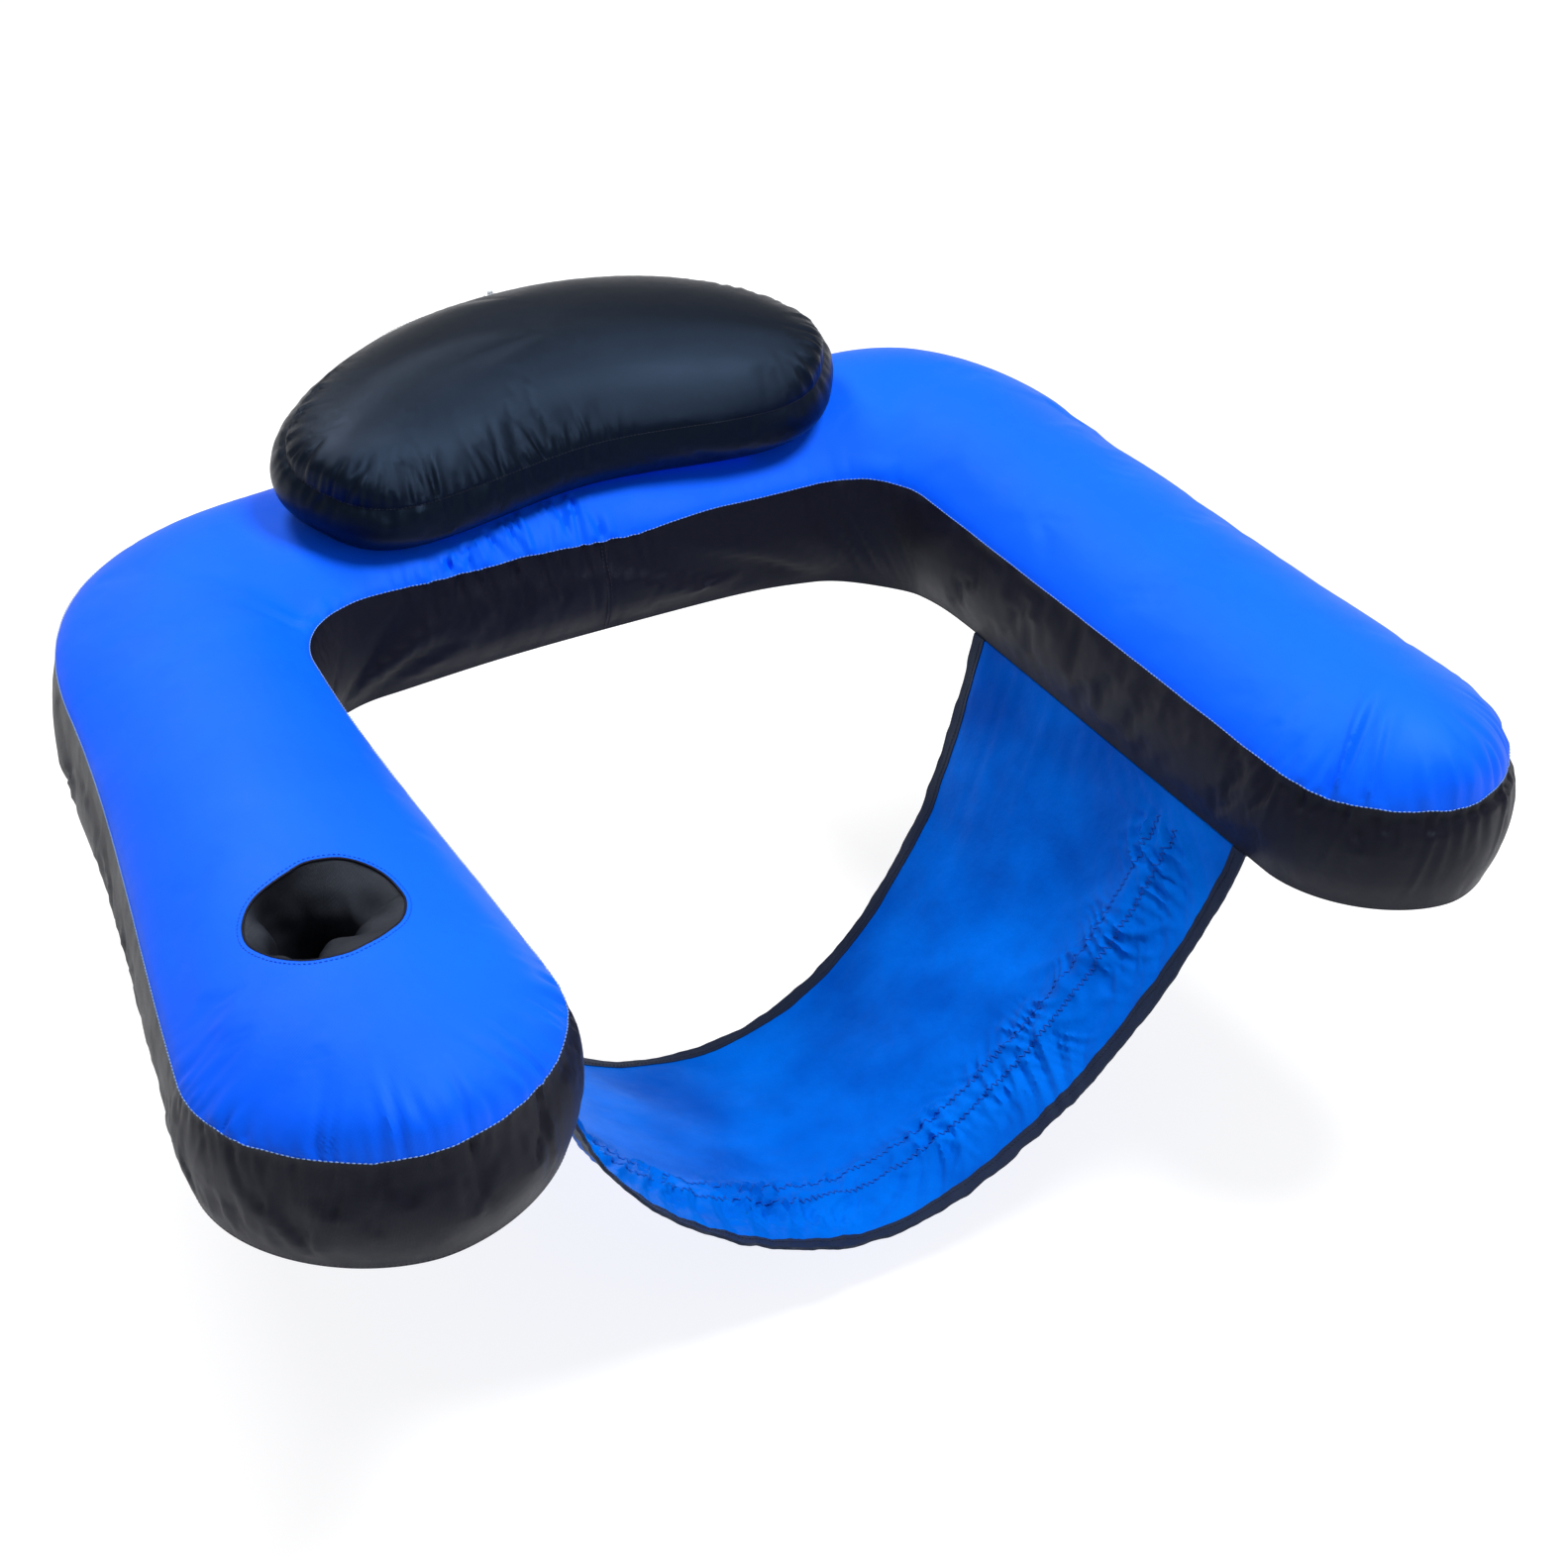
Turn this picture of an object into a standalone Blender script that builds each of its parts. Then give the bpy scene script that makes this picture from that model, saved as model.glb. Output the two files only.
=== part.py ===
"""Inflatable pool float: a U-shaped, fabric-covered tube with a head pillow, a cup pocket and a hanging seat.

Units are metres and +Z is up.  X runs across the float, +Y points to the closed back of the U and the arms
point to -Y.  z = 0 is the flat underside, and the origin lies under the middle of the back tube.
Run with: blender --background --python part.py
"""
import math

import bmesh
import bpy
from mathutils import Euler, Matrix, Vector

OBJECT_NAME = "inflatable_pool_float"

# ---------------------------------------------------------------- driving dimensions
BACK_HALF_STRAIGHT = 0.1945          # half of the straight stretch of the back tube
TIP_EXPONENT = 1.81                  # superellipse exponent of the rounded arm tips
SEAM_HEIGHT = 0.0863                 # height of the seam between top panel and gusset
WALL_BULGE = 0.0073                  # how far the gusset swells out at mid height
CROWN_EXPONENT = 0.8                 # shape of the crown across the tube
TIP_CROWN_EXPONENT = 0.7             # how the crown fades out at a tip
SKIRT = 0.002                        # upright edge of a top panel above the seam

# One arm of the U per side: corner radius, splay, arm length, half widths and crown heights.
# The corner's outer side is fuller than its inner side by corner_fullness.
ARMS = {
    -1: dict(corner_radius=0.1665, splay=math.radians(3.4), length=0.5376, tip_length=0.117,
             half_widths=(0.0947, 0.0906, 0.1257), corner_fullness=0.012,
             crowns=(0.0355, 0.0270, 0.0452), crown_start=0.06),
    1: dict(corner_radius=0.1598, splay=math.radians(3.1), length=0.5503, tip_length=0.096,
            half_widths=(0.0947, 0.0898, 0.0937), corner_fullness=0.026,
            crowns=(0.0355, 0.0559, 0.0524), crown_start=0.1945),
}

FABRIC = 0.0012                      # thickness of the cover panels
GAP = 0.0003                         # clearance between touching pieces
BLADDER_INSET = 0.004                # from the cover's outer face to the bladder
STITCH_GAP = 0.0002                  # half of the slit between two gusset panels

ZIP_LEFT = -0.190                    # ends of the opening panel in the back wall
ZIP_RIGHT = 0.120
ZIP_HEIGHT = 0.0432                  # the zipper runs at mid height
ZIP_SLIDER_X = 0.108                 # the slider rests at the closed end
ZIP_SLOT = 0.0098                    # from the zipper's middle to the gusset strip beside it
ZIP_TAPE = (0.0029, 0.0095)          # a tape's near and far edge, from the zipper's middle
ZIP_TAPE_FABRIC = 0.0008
ZIP_COIL = (0.0006, 0.0026)          # a coil's near and far edge, from the zipper's middle
ZIP_COIL_DEPTH = 0.0014
ZIP_COIL_END = 0.005                 # from the end of the opening to the coil's end
ZIP_STOP_END = 0.003                 # from the end of the opening to the stop's middle
ZIP_STOP_HALF = (0.0015, 0.0026)     # half width and half height of an end stop
ZIP_STOP_PROUD = 0.0012              # how far a stop, and the slider's top, stand out of the wall
SLIDER_HALF = 0.0045
SLIDER_PLATES = (-0.0027, -0.0017, 0.0003, 0.0013)   # the inner plate, then the outer plate
SLIDER_POST = (0.0030, 0.0003)       # half length and half thickness of the post between the coils
EAR_HALF = 0.0014                    # the ears that hold the pull's pin
EAR_SPAN = (0.0022, 0.0034)
EAR_TOP = 0.0040
PIN_RADIUS = 0.0006
PIN_HALF = 0.0028
PIN_OUT = 0.0028                     # from the wall to the pin
PULL_LENGTH = 0.0240
PULL_HALF = (0.0006, 0.0019)         # half thickness and half width of the pull
PULL_HEEL = 0.0004                   # from the pin to the pull's near edge
PULL_BARREL = 0.0013
PULL_EYE = 0.0008

VALVE_X = 0.160                      # the main valve, in the back wall
VALVE_SEAT = -0.0037                 # the flange's inner face, behind the wall's outer face
VALVE_FLANGE = {"main": 0.0140, "pillow": 0.0090}
VALVE_FLANGE_THICK = 0.0010
VALVE_BODY = (0.0045, 0.0070)        # inner and outer radius of the stem
VALVE_MOUTH = 0.0045                 # how far the stem stands out of the wall
VALVE_WEB = 0.0016                   # the bottom of the stem's bore, above the flange's inner face
FLAP_RADIUS = 0.0040
FLAP_SPAN = (0.0020, 0.0026)
LUG_HALF = 0.0020                    # the lug that carries the cap's strap
LUG_OUT = (0.0020, 0.0045)
LUG_SPAN = (-0.0125, -0.0060)
GROMMET_RADII = (0.0078, 0.0088, 0.0112)
GROMMET_STEPS = (-0.0012, 0.0003, 0.0012)
CAP_PIVOT = (0.00465, -0.0125)       # the strap's fold: outward and down from the valve's axis
CAP_RADII = (0.0041, 0.0085)         # the cap's plug and its disc
CAP_STEPS = (-0.00185, 0.00015, 0.00265)
STRAP_STEPS = (0.00015, 0.00135)
STRAP_REACH = 0.0070
GRIP_HALF = 0.0022
GRIP_STEPS = (0.00095, 0.00235)
GRIP_SPAN = (0.0195, 0.0235)
VALVE_HOLE = 0.0092
HOLE_DEPTH = 0.004

CUP_CENTRE = (-0.3846, -0.502)
CUP_RADIUS = 0.052
CUP_BOTTOM_RADIUS = 0.042
CUP_FLOOR = 0.048
CUP_PROFILE = ((0.0, CUP_BOTTOM_RADIUS), (0.5, 0.047), (1.0, CUP_RADIUS - 0.0030))   # (share up, radius)
CUP_MOUTH_DROP = 0.003               # the sleeve ends this far below the panel
CUP_FABRIC = 0.0010
CUP_FLOOR_FABRIC = 0.0012
CUP_FLOOR_MARGIN = 0.0014
CUP_RIM_RADIUS = 0.0011
CUP_RIM_INSET = 0.0014
CUP_RIM_DROP = 0.0006
CUP_STEPS = 32
CUP_PANEL_HOLE = (0.100, 0.150, CUP_RADIUS + 0.0003, CUP_RADIUS + 0.0003)   # low, high, two radii
CUP_BLADDER_HOLE = (CUP_FLOOR - 0.003, 0.150, CUP_BOTTOM_RADIUS + 0.002, CUP_RADIUS + 0.001)

SEAT_REAR_Y = -0.237                 # where the seat's long edges meet the arms
SEAT_FRONT_Y = -0.587
SEAT_REAR_DEPTH = 0.304
SEAT_FRONT_DEPTH = 0.257
SEAT_REAR_EXPONENT = 1.9
SEAT_FRONT_EXPONENT = 1.6
SEAT_LEAN = 0.043                    # the lowest part of the rear edge hangs forward by this
SEAT_SHIFT = -0.010                  # the lowest part hangs this far to the left
SEAT_RIGHT_SLACK = 0.013              # the right side hangs straighter than the left by this
SEAT_FABRIC = 0.001
SEAT_BINDING = 0.031                 # binding width as a share of the seat's depth
SEAT_SLIT = 0.001                    # between the panel and its bindings, as a share of its depth
SEAT_BINDING_FABRIC = 0.0022
SEAT_ELASTIC = (0.735, 0.800)        # the elastic's place, from the rear edge to the front edge
ELASTIC_FABRIC = 0.0010
ELASTIC_BELOW = 0.0018               # the elastic lies under the panel
ELASTIC_REACH = 0.94                 # the share of the panel's width that it spans
SEAT_TOP = -0.0009                   # the panel's long edges lie just under the arms
SEAT_EDGE_GAP = 0.0005
HEM_FABRIC = 0.0014
HEM_TOP = -0.0003
HEM_START = 0.0016                   # from the arm's edge to the hem's near edge
HEM_WIDTH = 0.018                    # from the arm's edge to the hem's far edge
HEM_STEPS = 8

PILLOW_CENTRE = (0.005, 0.030, 0.1435)
PILLOW_TILT = math.radians(16.9)     # its rear edge is higher than its front edge
PILLOW_LEAN = math.radians(1.7)      # its right end is a little higher than its left end
PILLOW_HALF_LENGTH = 0.2186
PILLOW_HALF_DEPTH = 0.0937
PILLOW_BOW = 0.0712                  # the kidney's ends bend forward by this
PILLOW_EXPONENT = 2.79
PILLOW_GUSSET = 0.045
PILLOW_CROWN = 0.0359
PILLOW_BULGE = 0.011
PILLOW_HINGE_Y = -0.108              # the pillow is sewn on along its front lower edge
PILLOW_STEPS = 28

STRIP_SKIP = 10                      # pillow sections at each end that the sewn strip leaves free
STRIP_INSETS = (0.004, 0.009, 0.014)  # its rows, in from the pillow's front lower edge
STRIP_LIFT = 0.0005
STRIP_FABRIC = 0.0008

BLADDER_BOTTOM = 0.0025              # a bladder's flat underside, above its cover's
SHARP_ANGLE = math.radians(40)
MERGE = 1e-6

COLOURS = {                          # name: (red, green, blue, roughness, metallic)
    "blue_nylon": (0.007, 0.127, 1.0, 0.45, 0.0),
    "navy_nylon": (0.019, 0.019, 0.032, 0.55, 0.0),
    "black_satin": (0.012, 0.014, 0.022, 0.38, 0.0),
    "seat_nylon": (0.004, 0.090, 0.720, 0.28, 0.0),
    "vinyl": (0.55, 0.60, 0.65, 0.35, 0.0),
    "clear_vinyl": (0.75, 0.78, 0.80, 0.25, 0.0),
    "zip_tape": (0.015, 0.015, 0.020, 0.70, 0.0),
    "zip_plastic": (0.020, 0.020, 0.022, 0.35, 0.0),
    "zip_metal": (0.55, 0.55, 0.57, 0.30, 1.0),
    "elastic": (0.020, 0.020, 0.030, 0.75, 0.0),
}


# ---------------------------------------------------------------- scene helpers
def clear_scene():
    for item in list(bpy.data.objects):
        bpy.data.objects.remove(item, do_unlink=True)


def new_collection(name):
    collection = bpy.data.collections.new(name)
    bpy.context.scene.collection.children.link(collection)
    return collection


def material(colour, name):
    red, green, blue, roughness, metallic = COLOURS[colour]
    result = bpy.data.materials.new(name)
    result.use_nodes = True
    shader = result.node_tree.nodes["Principled BSDF"]
    shader.inputs["Base Color"].default_value = (red, green, blue, 1.0)
    shader.inputs["Roughness"].default_value = roughness
    shader.inputs["Metallic"].default_value = metallic
    result.diffuse_color = (red, green, blue, 1.0)
    return result


def finish_mesh(name, bm, colour, parent=None, collection=None):
    mesh = bpy.data.meshes.new(name)
    bm.to_mesh(mesh)
    bm.free()
    mesh.shade_smooth()
    mesh.set_sharp_from_angle(angle=SHARP_ANGLE)
    result = bpy.data.objects.new(name, mesh)
    (collection or PARTS).objects.link(result)
    result.parent = parent
    if colour:
        mesh.materials.append(material(colour, name))
    else:
        result.hide_render = True
        result.display_type = "WIRE"
    return result


def empty(name, location, rotation=(0, 0, 0), parent=None):
    result = bpy.data.objects.new(name, None)
    result.location = location
    result.rotation_euler = rotation
    result.parent = parent
    result.empty_display_size = 0.02
    PARTS.objects.link(result)
    return result


def sheet(name, rows, thickness, colour, parent=None, closed=False, offset=-1.0):
    """A fabric panel: an open grid of points made solid on the side away from its normals."""
    bm = bmesh.new()
    grid = [[bm.verts.new(point) for point in row] for row in rows]
    pairs = list(zip(grid, grid[1:] + grid[:1])) if closed else list(zip(grid, grid[1:]))
    for this, following in pairs:
        for k in range(len(this) - 1):
            bm.faces.new((this[k], following[k], following[k + 1], this[k + 1]))
    bmesh.ops.remove_doubles(bm, verts=bm.verts, dist=MERGE)
    result = finish_mesh(name, bm, colour, parent)
    solid = result.modifiers.new("thickness", "SOLIDIFY")
    solid.thickness = thickness
    solid.offset = offset
    return result


def loft(name, rings, colour, parent=None):
    """A closed body from closed rings; the first and last rings may close to a line."""
    bm = bmesh.new()
    grid = [[bm.verts.new(point) for point in ring] for ring in rings]
    for this, following in zip(grid, grid[1:]):
        for k in range(len(this)):
            after = (k + 1) % len(this)
            bm.faces.new((this[k], following[k], following[after], this[after]))
    bmesh.ops.remove_doubles(bm, verts=bm.verts, dist=MERGE)
    bmesh.ops.recalc_face_normals(bm, faces=bm.faces)
    return finish_mesh(name, bm, colour, parent)


def add_box(bm, low, high):
    centre = [(a + b) / 2 for a, b in zip(low, high)]
    size = [b - a for a, b in zip(low, high)]
    place = Matrix.Translation(centre) @ Matrix.Diagonal((*size, 1.0))
    bmesh.ops.create_cube(bm, size=1.0, matrix=place)


def box(name, low, high, colour, parent=None, collection=None):
    bm = bmesh.new()
    add_box(bm, low, high)
    return finish_mesh(name, bm, colour, parent, collection)


def turned(name, profile, colour, parent=None, steps=24, collection=None):
    """A body turned about the local Y axis from a closed profile of (radius, y) points."""
    bm = bmesh.new()
    verts = [bm.verts.new((radius, y, 0.0)) for radius, y in profile]
    for a, b in zip(verts, verts[1:] + verts[:1]):
        bm.edges.new((a, b))
    bmesh.ops.spin(bm, geom=bm.verts[:] + bm.edges[:], cent=(0, 0, 0), axis=(0, 1, 0),
                   angle=math.tau, steps=steps, use_merge=True)
    bmesh.ops.remove_doubles(bm, verts=bm.verts, dist=MERGE)
    bmesh.ops.recalc_face_normals(bm, faces=bm.faces)
    return finish_mesh(name, bm, colour, parent, collection)


def combine(target, tool, operation):
    change = target.modifiers.new(operation.lower(), "BOOLEAN")
    change.operation = operation
    change.object = tool
    change.solver = "EXACT"


# ---------------------------------------------------------------- the tube's shape
def smooth(t):
    t = min(max(t, 0.0), 1.0)
    return t * t * (3 - 2 * t)


def blend_knots(s, knots, values):
    """A smooth curve through the values at the knots."""
    for k in range(len(knots) - 1):
        if s <= knots[k + 1]:
            share = smooth((s - knots[k]) / (knots[k + 1] - knots[k]))
            return values[k] + (values[k + 1] - values[k]) * share
    return values[-1]


class Station:
    """One cross-section: centre, outward unit normal, half width and crown height."""

    def __init__(self, centre, normal, half_width, crown):
        self.centre = Vector(centre)
        self.normal = Vector(normal)
        self.half_width = half_width
        self.crown = crown

    def point(self, off, z):
        place = self.centre + self.normal * off
        return (place.x, place.y, z)


def arm_station(side, s, inset=0.0):
    """The section at distance s along the centreline from the middle of the back."""
    arm = ARMS[side]
    straight = BACK_HALF_STRAIGHT
    turn = math.pi / 2 - arm["splay"]
    corner = arm["corner_radius"] * turn
    end = straight + corner + arm["length"] - inset
    tip_length = arm["tip_length"] - inset
    angle = min(max((s - straight) / arm["corner_radius"], 0.0), turn)
    run = min(s, straight) + max(s - straight - corner, 0.0) * math.cos(turn)
    x = run + arm["corner_radius"] * math.sin(angle)
    y = -arm["corner_radius"] * (1 - math.cos(angle)) - max(s - straight - corner, 0.0) * math.sin(turn)
    middle = straight + corner / 2
    width_knots = (straight, straight + corner, straight + corner + arm["length"])
    half_width = blend_knots(max(s, straight), width_knots, arm["half_widths"])
    fullness = arm["corner_fullness"] * math.sin(math.pi * min(max((s - straight) / corner, 0.0), 1.0)) ** 2
    crown_knots = (arm["crown_start"], middle, straight + corner + arm["length"] / 2)
    crown = blend_knots(max(s, arm["crown_start"]), crown_knots, arm["crowns"])
    q = min(max((s - end + tip_length) / tip_length, 0.0), 1.0)
    tip = (1 - q ** TIP_EXPONENT) ** (1 / TIP_EXPONENT)
    x += fullness / 2 * math.sin(angle)
    y += fullness / 2 * math.cos(angle)
    return Station((side * x, y), (side * math.sin(angle), math.cos(angle)),
                   (half_width + fullness / 2 - inset) * tip, crown * tip ** TIP_CROWN_EXPONENT)


def arm_distances(side, inset=0.0):
    arm = ARMS[side]
    corner_end = BACK_HALF_STRAIGHT + arm["corner_radius"] * (math.pi / 2 - arm["splay"])
    tip_length = arm["tip_length"] - inset
    end = corner_end + arm["length"] - inset
    tip_start = end - tip_length
    corner = [BACK_HALF_STRAIGHT + (corner_end - BACK_HALF_STRAIGHT) * k / 9 for k in range(9)]
    straight = [corner_end + (tip_start - corner_end) * k / 5 for k in range(5)]
    tip = [tip_start + tip_length * math.sin(math.pi / 2 * k / 8) for k in range(9)]
    return [0.06, ZIP_RIGHT, -ZIP_LEFT] + corner + straight + tip


def tube_stations(inset=0.0):
    """Sections of the whole U, from the left tip over the back to the right tip."""
    left = [arm_station(-1, s, inset) for s in reversed(arm_distances(-1, inset))]
    right = [arm_station(1, s, inset) for s in arm_distances(1, inset)]
    return left + [arm_station(1, 0.0, inset)] + right


def pillow_stations(inset=0.0):
    """Sections of the kidney-shaped pillow, from its left end to its right end, in its own frame."""
    result = []
    length = PILLOW_HALF_LENGTH - inset
    for k in range(PILLOW_STEPS + 1):
        t = math.sin(math.pi * (k / PILLOW_STEPS - 0.5))
        tip = max(1 - abs(t) ** PILLOW_EXPONENT, 0.0) ** (1 / PILLOW_EXPONENT)
        slope = Vector((1.0, -2 * PILLOW_BOW * t / PILLOW_HALF_LENGTH)).normalized()
        centre = (length * t, -PILLOW_BOW * (length * t / PILLOW_HALF_LENGTH) ** 2)
        result.append(Station(centre, (-slope.y, slope.x), (PILLOW_HALF_DEPTH - inset) * tip,
                              PILLOW_CROWN * tip ** CROWN_EXPONENT))
    return result


def crown_profile(station, seam, columns=8, lift=0.0):
    """Points over the crown, from the inner seam to the outer seam."""
    points = [station.point(-station.half_width, seam + lift)]
    for k in range(columns + 1):
        u = math.sin(math.pi * (k / columns - 0.5))
        z = seam + SKIRT * (station.crown > 0) + station.crown * (1 - u * u) ** CROWN_EXPONENT
        points.append(station.point(u * station.half_width, max(z, seam + SKIRT) + lift))
    points.append(station.point(station.half_width, seam + lift))
    return points


def outline(stations):
    """The closed outline of a tube, as (point, outward normal) pairs, inner side first."""
    inner = [Vector(s.point(-s.half_width, 0.0)) for s in stations]
    outer = [Vector(s.point(s.half_width, 0.0)) for s in reversed(stations[1:-1])]
    points = inner + outer
    pairs = []
    for k, point in enumerate(points):
        along = points[(k + 1) % len(points)] - points[k - 1]
        pairs.append((point, Vector((along.y, -along.x, 0.0)).normalized()))
    return pairs


def trimmed(path):
    """The same path, shorter by the stitch gap at each end."""
    result = list(path)
    for end, neighbour in ((0, 1), (-1, -2)):
        point, normal = result[end]
        inward = (result[neighbour][0] - point).normalized()
        result[end] = (point + inward * STITCH_GAP, normal)
    return result


def wall_rows(path, low, high, height, bulge, levels):
    rows = []
    for point, normal in path:
        row = []
        for k in range(levels + 1):
            z = low + (high - low) * k / levels
            place = point + normal * bulge * math.sin(math.pi * z / height)
            row.append((place.x, place.y, z))
        rows.append(row)
    return rows


def body_rings(stations, low, seam, bulge, height, columns=8, levels=4):
    """Closed rings of an inflated body: up the outer wall, over the crown and down the inner wall."""
    rings = []
    loop = outline(stations)
    last = len(stations) - 1
    for k, station in enumerate(stations):
        inner_point, inner_normal = loop[k]
        outer_point, outer_normal = loop[k] if k in (0, last) else loop[len(loop) - k]
        ring = []
        for point, normal, order in ((inner_point, inner_normal, range(levels, -1, -1)),
                                     (outer_point, outer_normal, range(levels + 1))):
            for level in order:
                z = low + (seam - low) * level / levels
                place = point + normal * bulge * math.sin(math.pi * min(z / height, 1.0))
                ring.append((place.x, place.y, z))
        crown = crown_profile(station, seam, columns)[2:-2]
        rings.append(ring + list(reversed(crown)))
    return rings


def crown_height(side, s, u):
    station = arm_station(side, s)
    return SEAM_HEIGHT + SKIRT + station.crown * (1 - u * u) ** CROWN_EXPONENT


# ---------------------------------------------------------------- cover of the tube
def build_cover(stations):
    rows = [crown_profile(station, SEAM_HEIGHT) for station in stations]
    top = sheet("top_panel", rows, FABRIC, "blue_nylon")
    loop = outline(stations)
    middle = len(stations) // 2
    zip_left = len(loop) - middle + 3
    zip_right = len(loop) - middle - 2
    low = FABRIC + GAP
    high = SEAM_HEIGHT - GAP
    right_path = loop[middle:zip_right + 1]
    left_path = loop[zip_left:] + loop[:middle + 1]
    zip_path = loop[zip_right:zip_left + 1]
    sheet("left_gusset", wall_rows(trimmed(left_path), low, high, SEAM_HEIGHT, WALL_BULGE, 4),
          FABRIC, "navy_nylon")
    right = sheet("right_gusset", wall_rows(trimmed(right_path), low, high, SEAM_HEIGHT, WALL_BULGE, 4),
                  FABRIC, "navy_nylon")
    sheet("rear_gusset_upper",
          wall_rows(trimmed(zip_path), ZIP_HEIGHT + ZIP_SLOT, high, SEAM_HEIGHT, WALL_BULGE, 2),
          FABRIC, "navy_nylon")
    sheet("rear_gusset_lower",
          wall_rows(trimmed(zip_path), low, ZIP_HEIGHT - ZIP_SLOT, SEAM_HEIGHT, WALL_BULGE, 2),
          FABRIC, "navy_nylon")
    rows = [[s.point(s.half_width, 0.0), s.point(-s.half_width, 0.0)] for s in stations]
    sheet("bottom_panel", rows, FABRIC, "navy_nylon")
    return top, right, zip_path


def build_main_bladder():
    stations = tube_stations(BLADDER_INSET)
    rings = body_rings(stations, BLADDER_BOTTOM, SEAM_HEIGHT - BLADDER_INSET, WALL_BULGE, SEAM_HEIGHT)
    return loft("main_bladder", rings, "vinyl")


# ---------------------------------------------------------------- zipper in the back wall
def rod(name, radius, half_length, parent):
    """A round bar along the parent's Z axis, used to join or cut."""
    bar = turned(name, [(0.0, -half_length), (radius, -half_length), (radius, half_length), (0.0, half_length)],
                 None, parent, 12, CUTTERS)
    bar.rotation_euler = (math.pi / 2, 0.0, 0.0)
    return bar


def build_zipper(zip_path):
    wall = ARMS[1]["half_widths"][0] + WALL_BULGE
    for name, sign in (("upper", 1), ("lower", -1)):
        low, high = sorted(ZIP_HEIGHT + sign * edge for edge in ZIP_TAPE)
        rows = wall_rows(trimmed(zip_path), low, high, SEAM_HEIGHT, WALL_BULGE, 1)
        sheet("zipper_tape_" + name, rows, ZIP_TAPE_FABRIC, "zip_tape")
        low, high = sorted(ZIP_HEIGHT + sign * edge for edge in ZIP_COIL)
        box("zipper_coil_" + name, (ZIP_LEFT + ZIP_COIL_END, wall - ZIP_COIL_DEPTH, low),
            (ZIP_RIGHT - ZIP_COIL_END, wall, high), "zip_plastic")
    half_width, half_height = ZIP_STOP_HALF
    for name, x in (("left", ZIP_LEFT + ZIP_STOP_END), ("right", ZIP_RIGHT - ZIP_STOP_END)):
        box("zipper_stop_" + name, (x - half_width, wall - ZIP_COIL_DEPTH, ZIP_HEIGHT - half_height),
            (x + half_width, wall + ZIP_STOP_PROUD, ZIP_HEIGHT + half_height), "zip_metal")
    pivot = empty("zipper_slider_origin", (ZIP_SLIDER_X, wall, ZIP_HEIGHT))
    build_slider(pivot)
    build_pull(pivot)


def build_slider(pivot):
    inner_low, inner_high, outer_low, outer_high = SLIDER_PLATES
    half = SLIDER_HALF
    post_length, post_thick = SLIDER_POST
    near, far = EAR_SPAN
    ear_foot = outer_high - GAP
    slider = box("zipper_slider", (-half, outer_low, -half), (half, outer_high, half), "zip_metal", pivot)
    additions = [
        box("slider_inner_plate", (-half, inner_low, -half), (half, inner_high, half), None, pivot, CUTTERS),
        box("slider_post", (-post_length, inner_high - GAP, -post_thick),
            (post_length, outer_low + GAP, post_thick), None, pivot, CUTTERS),
        box("slider_upper_ear", (-EAR_HALF, ear_foot, near), (EAR_HALF, EAR_TOP, far), None, pivot, CUTTERS),
        box("slider_lower_ear", (-EAR_HALF, ear_foot, -far), (EAR_HALF, EAR_TOP, -near), None, pivot, CUTTERS),
    ]
    pin = rod("slider_pin", PIN_RADIUS, PIN_HALF, pivot)
    pin.location = (0.0, PIN_OUT, 0.0)
    for addition in additions + [pin]:
        combine(slider, addition, "UNION")


def build_pull(pivot):
    tab_pivot = empty("zipper_pull_pin", (0.0, PIN_OUT, 0.0), parent=pivot)
    thick, wide = PULL_HALF
    pull = box("zipper_pull", (-PULL_LENGTH, -thick, -wide), (-PULL_HEEL, thick, wide), "zip_metal", tab_pivot)
    combine(pull, rod("pull_barrel", PULL_BARREL, wide, tab_pivot), "UNION")
    combine(pull, rod("pull_eye", PULL_EYE, EAR_TOP, tab_pivot), "DIFFERENCE")


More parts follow.
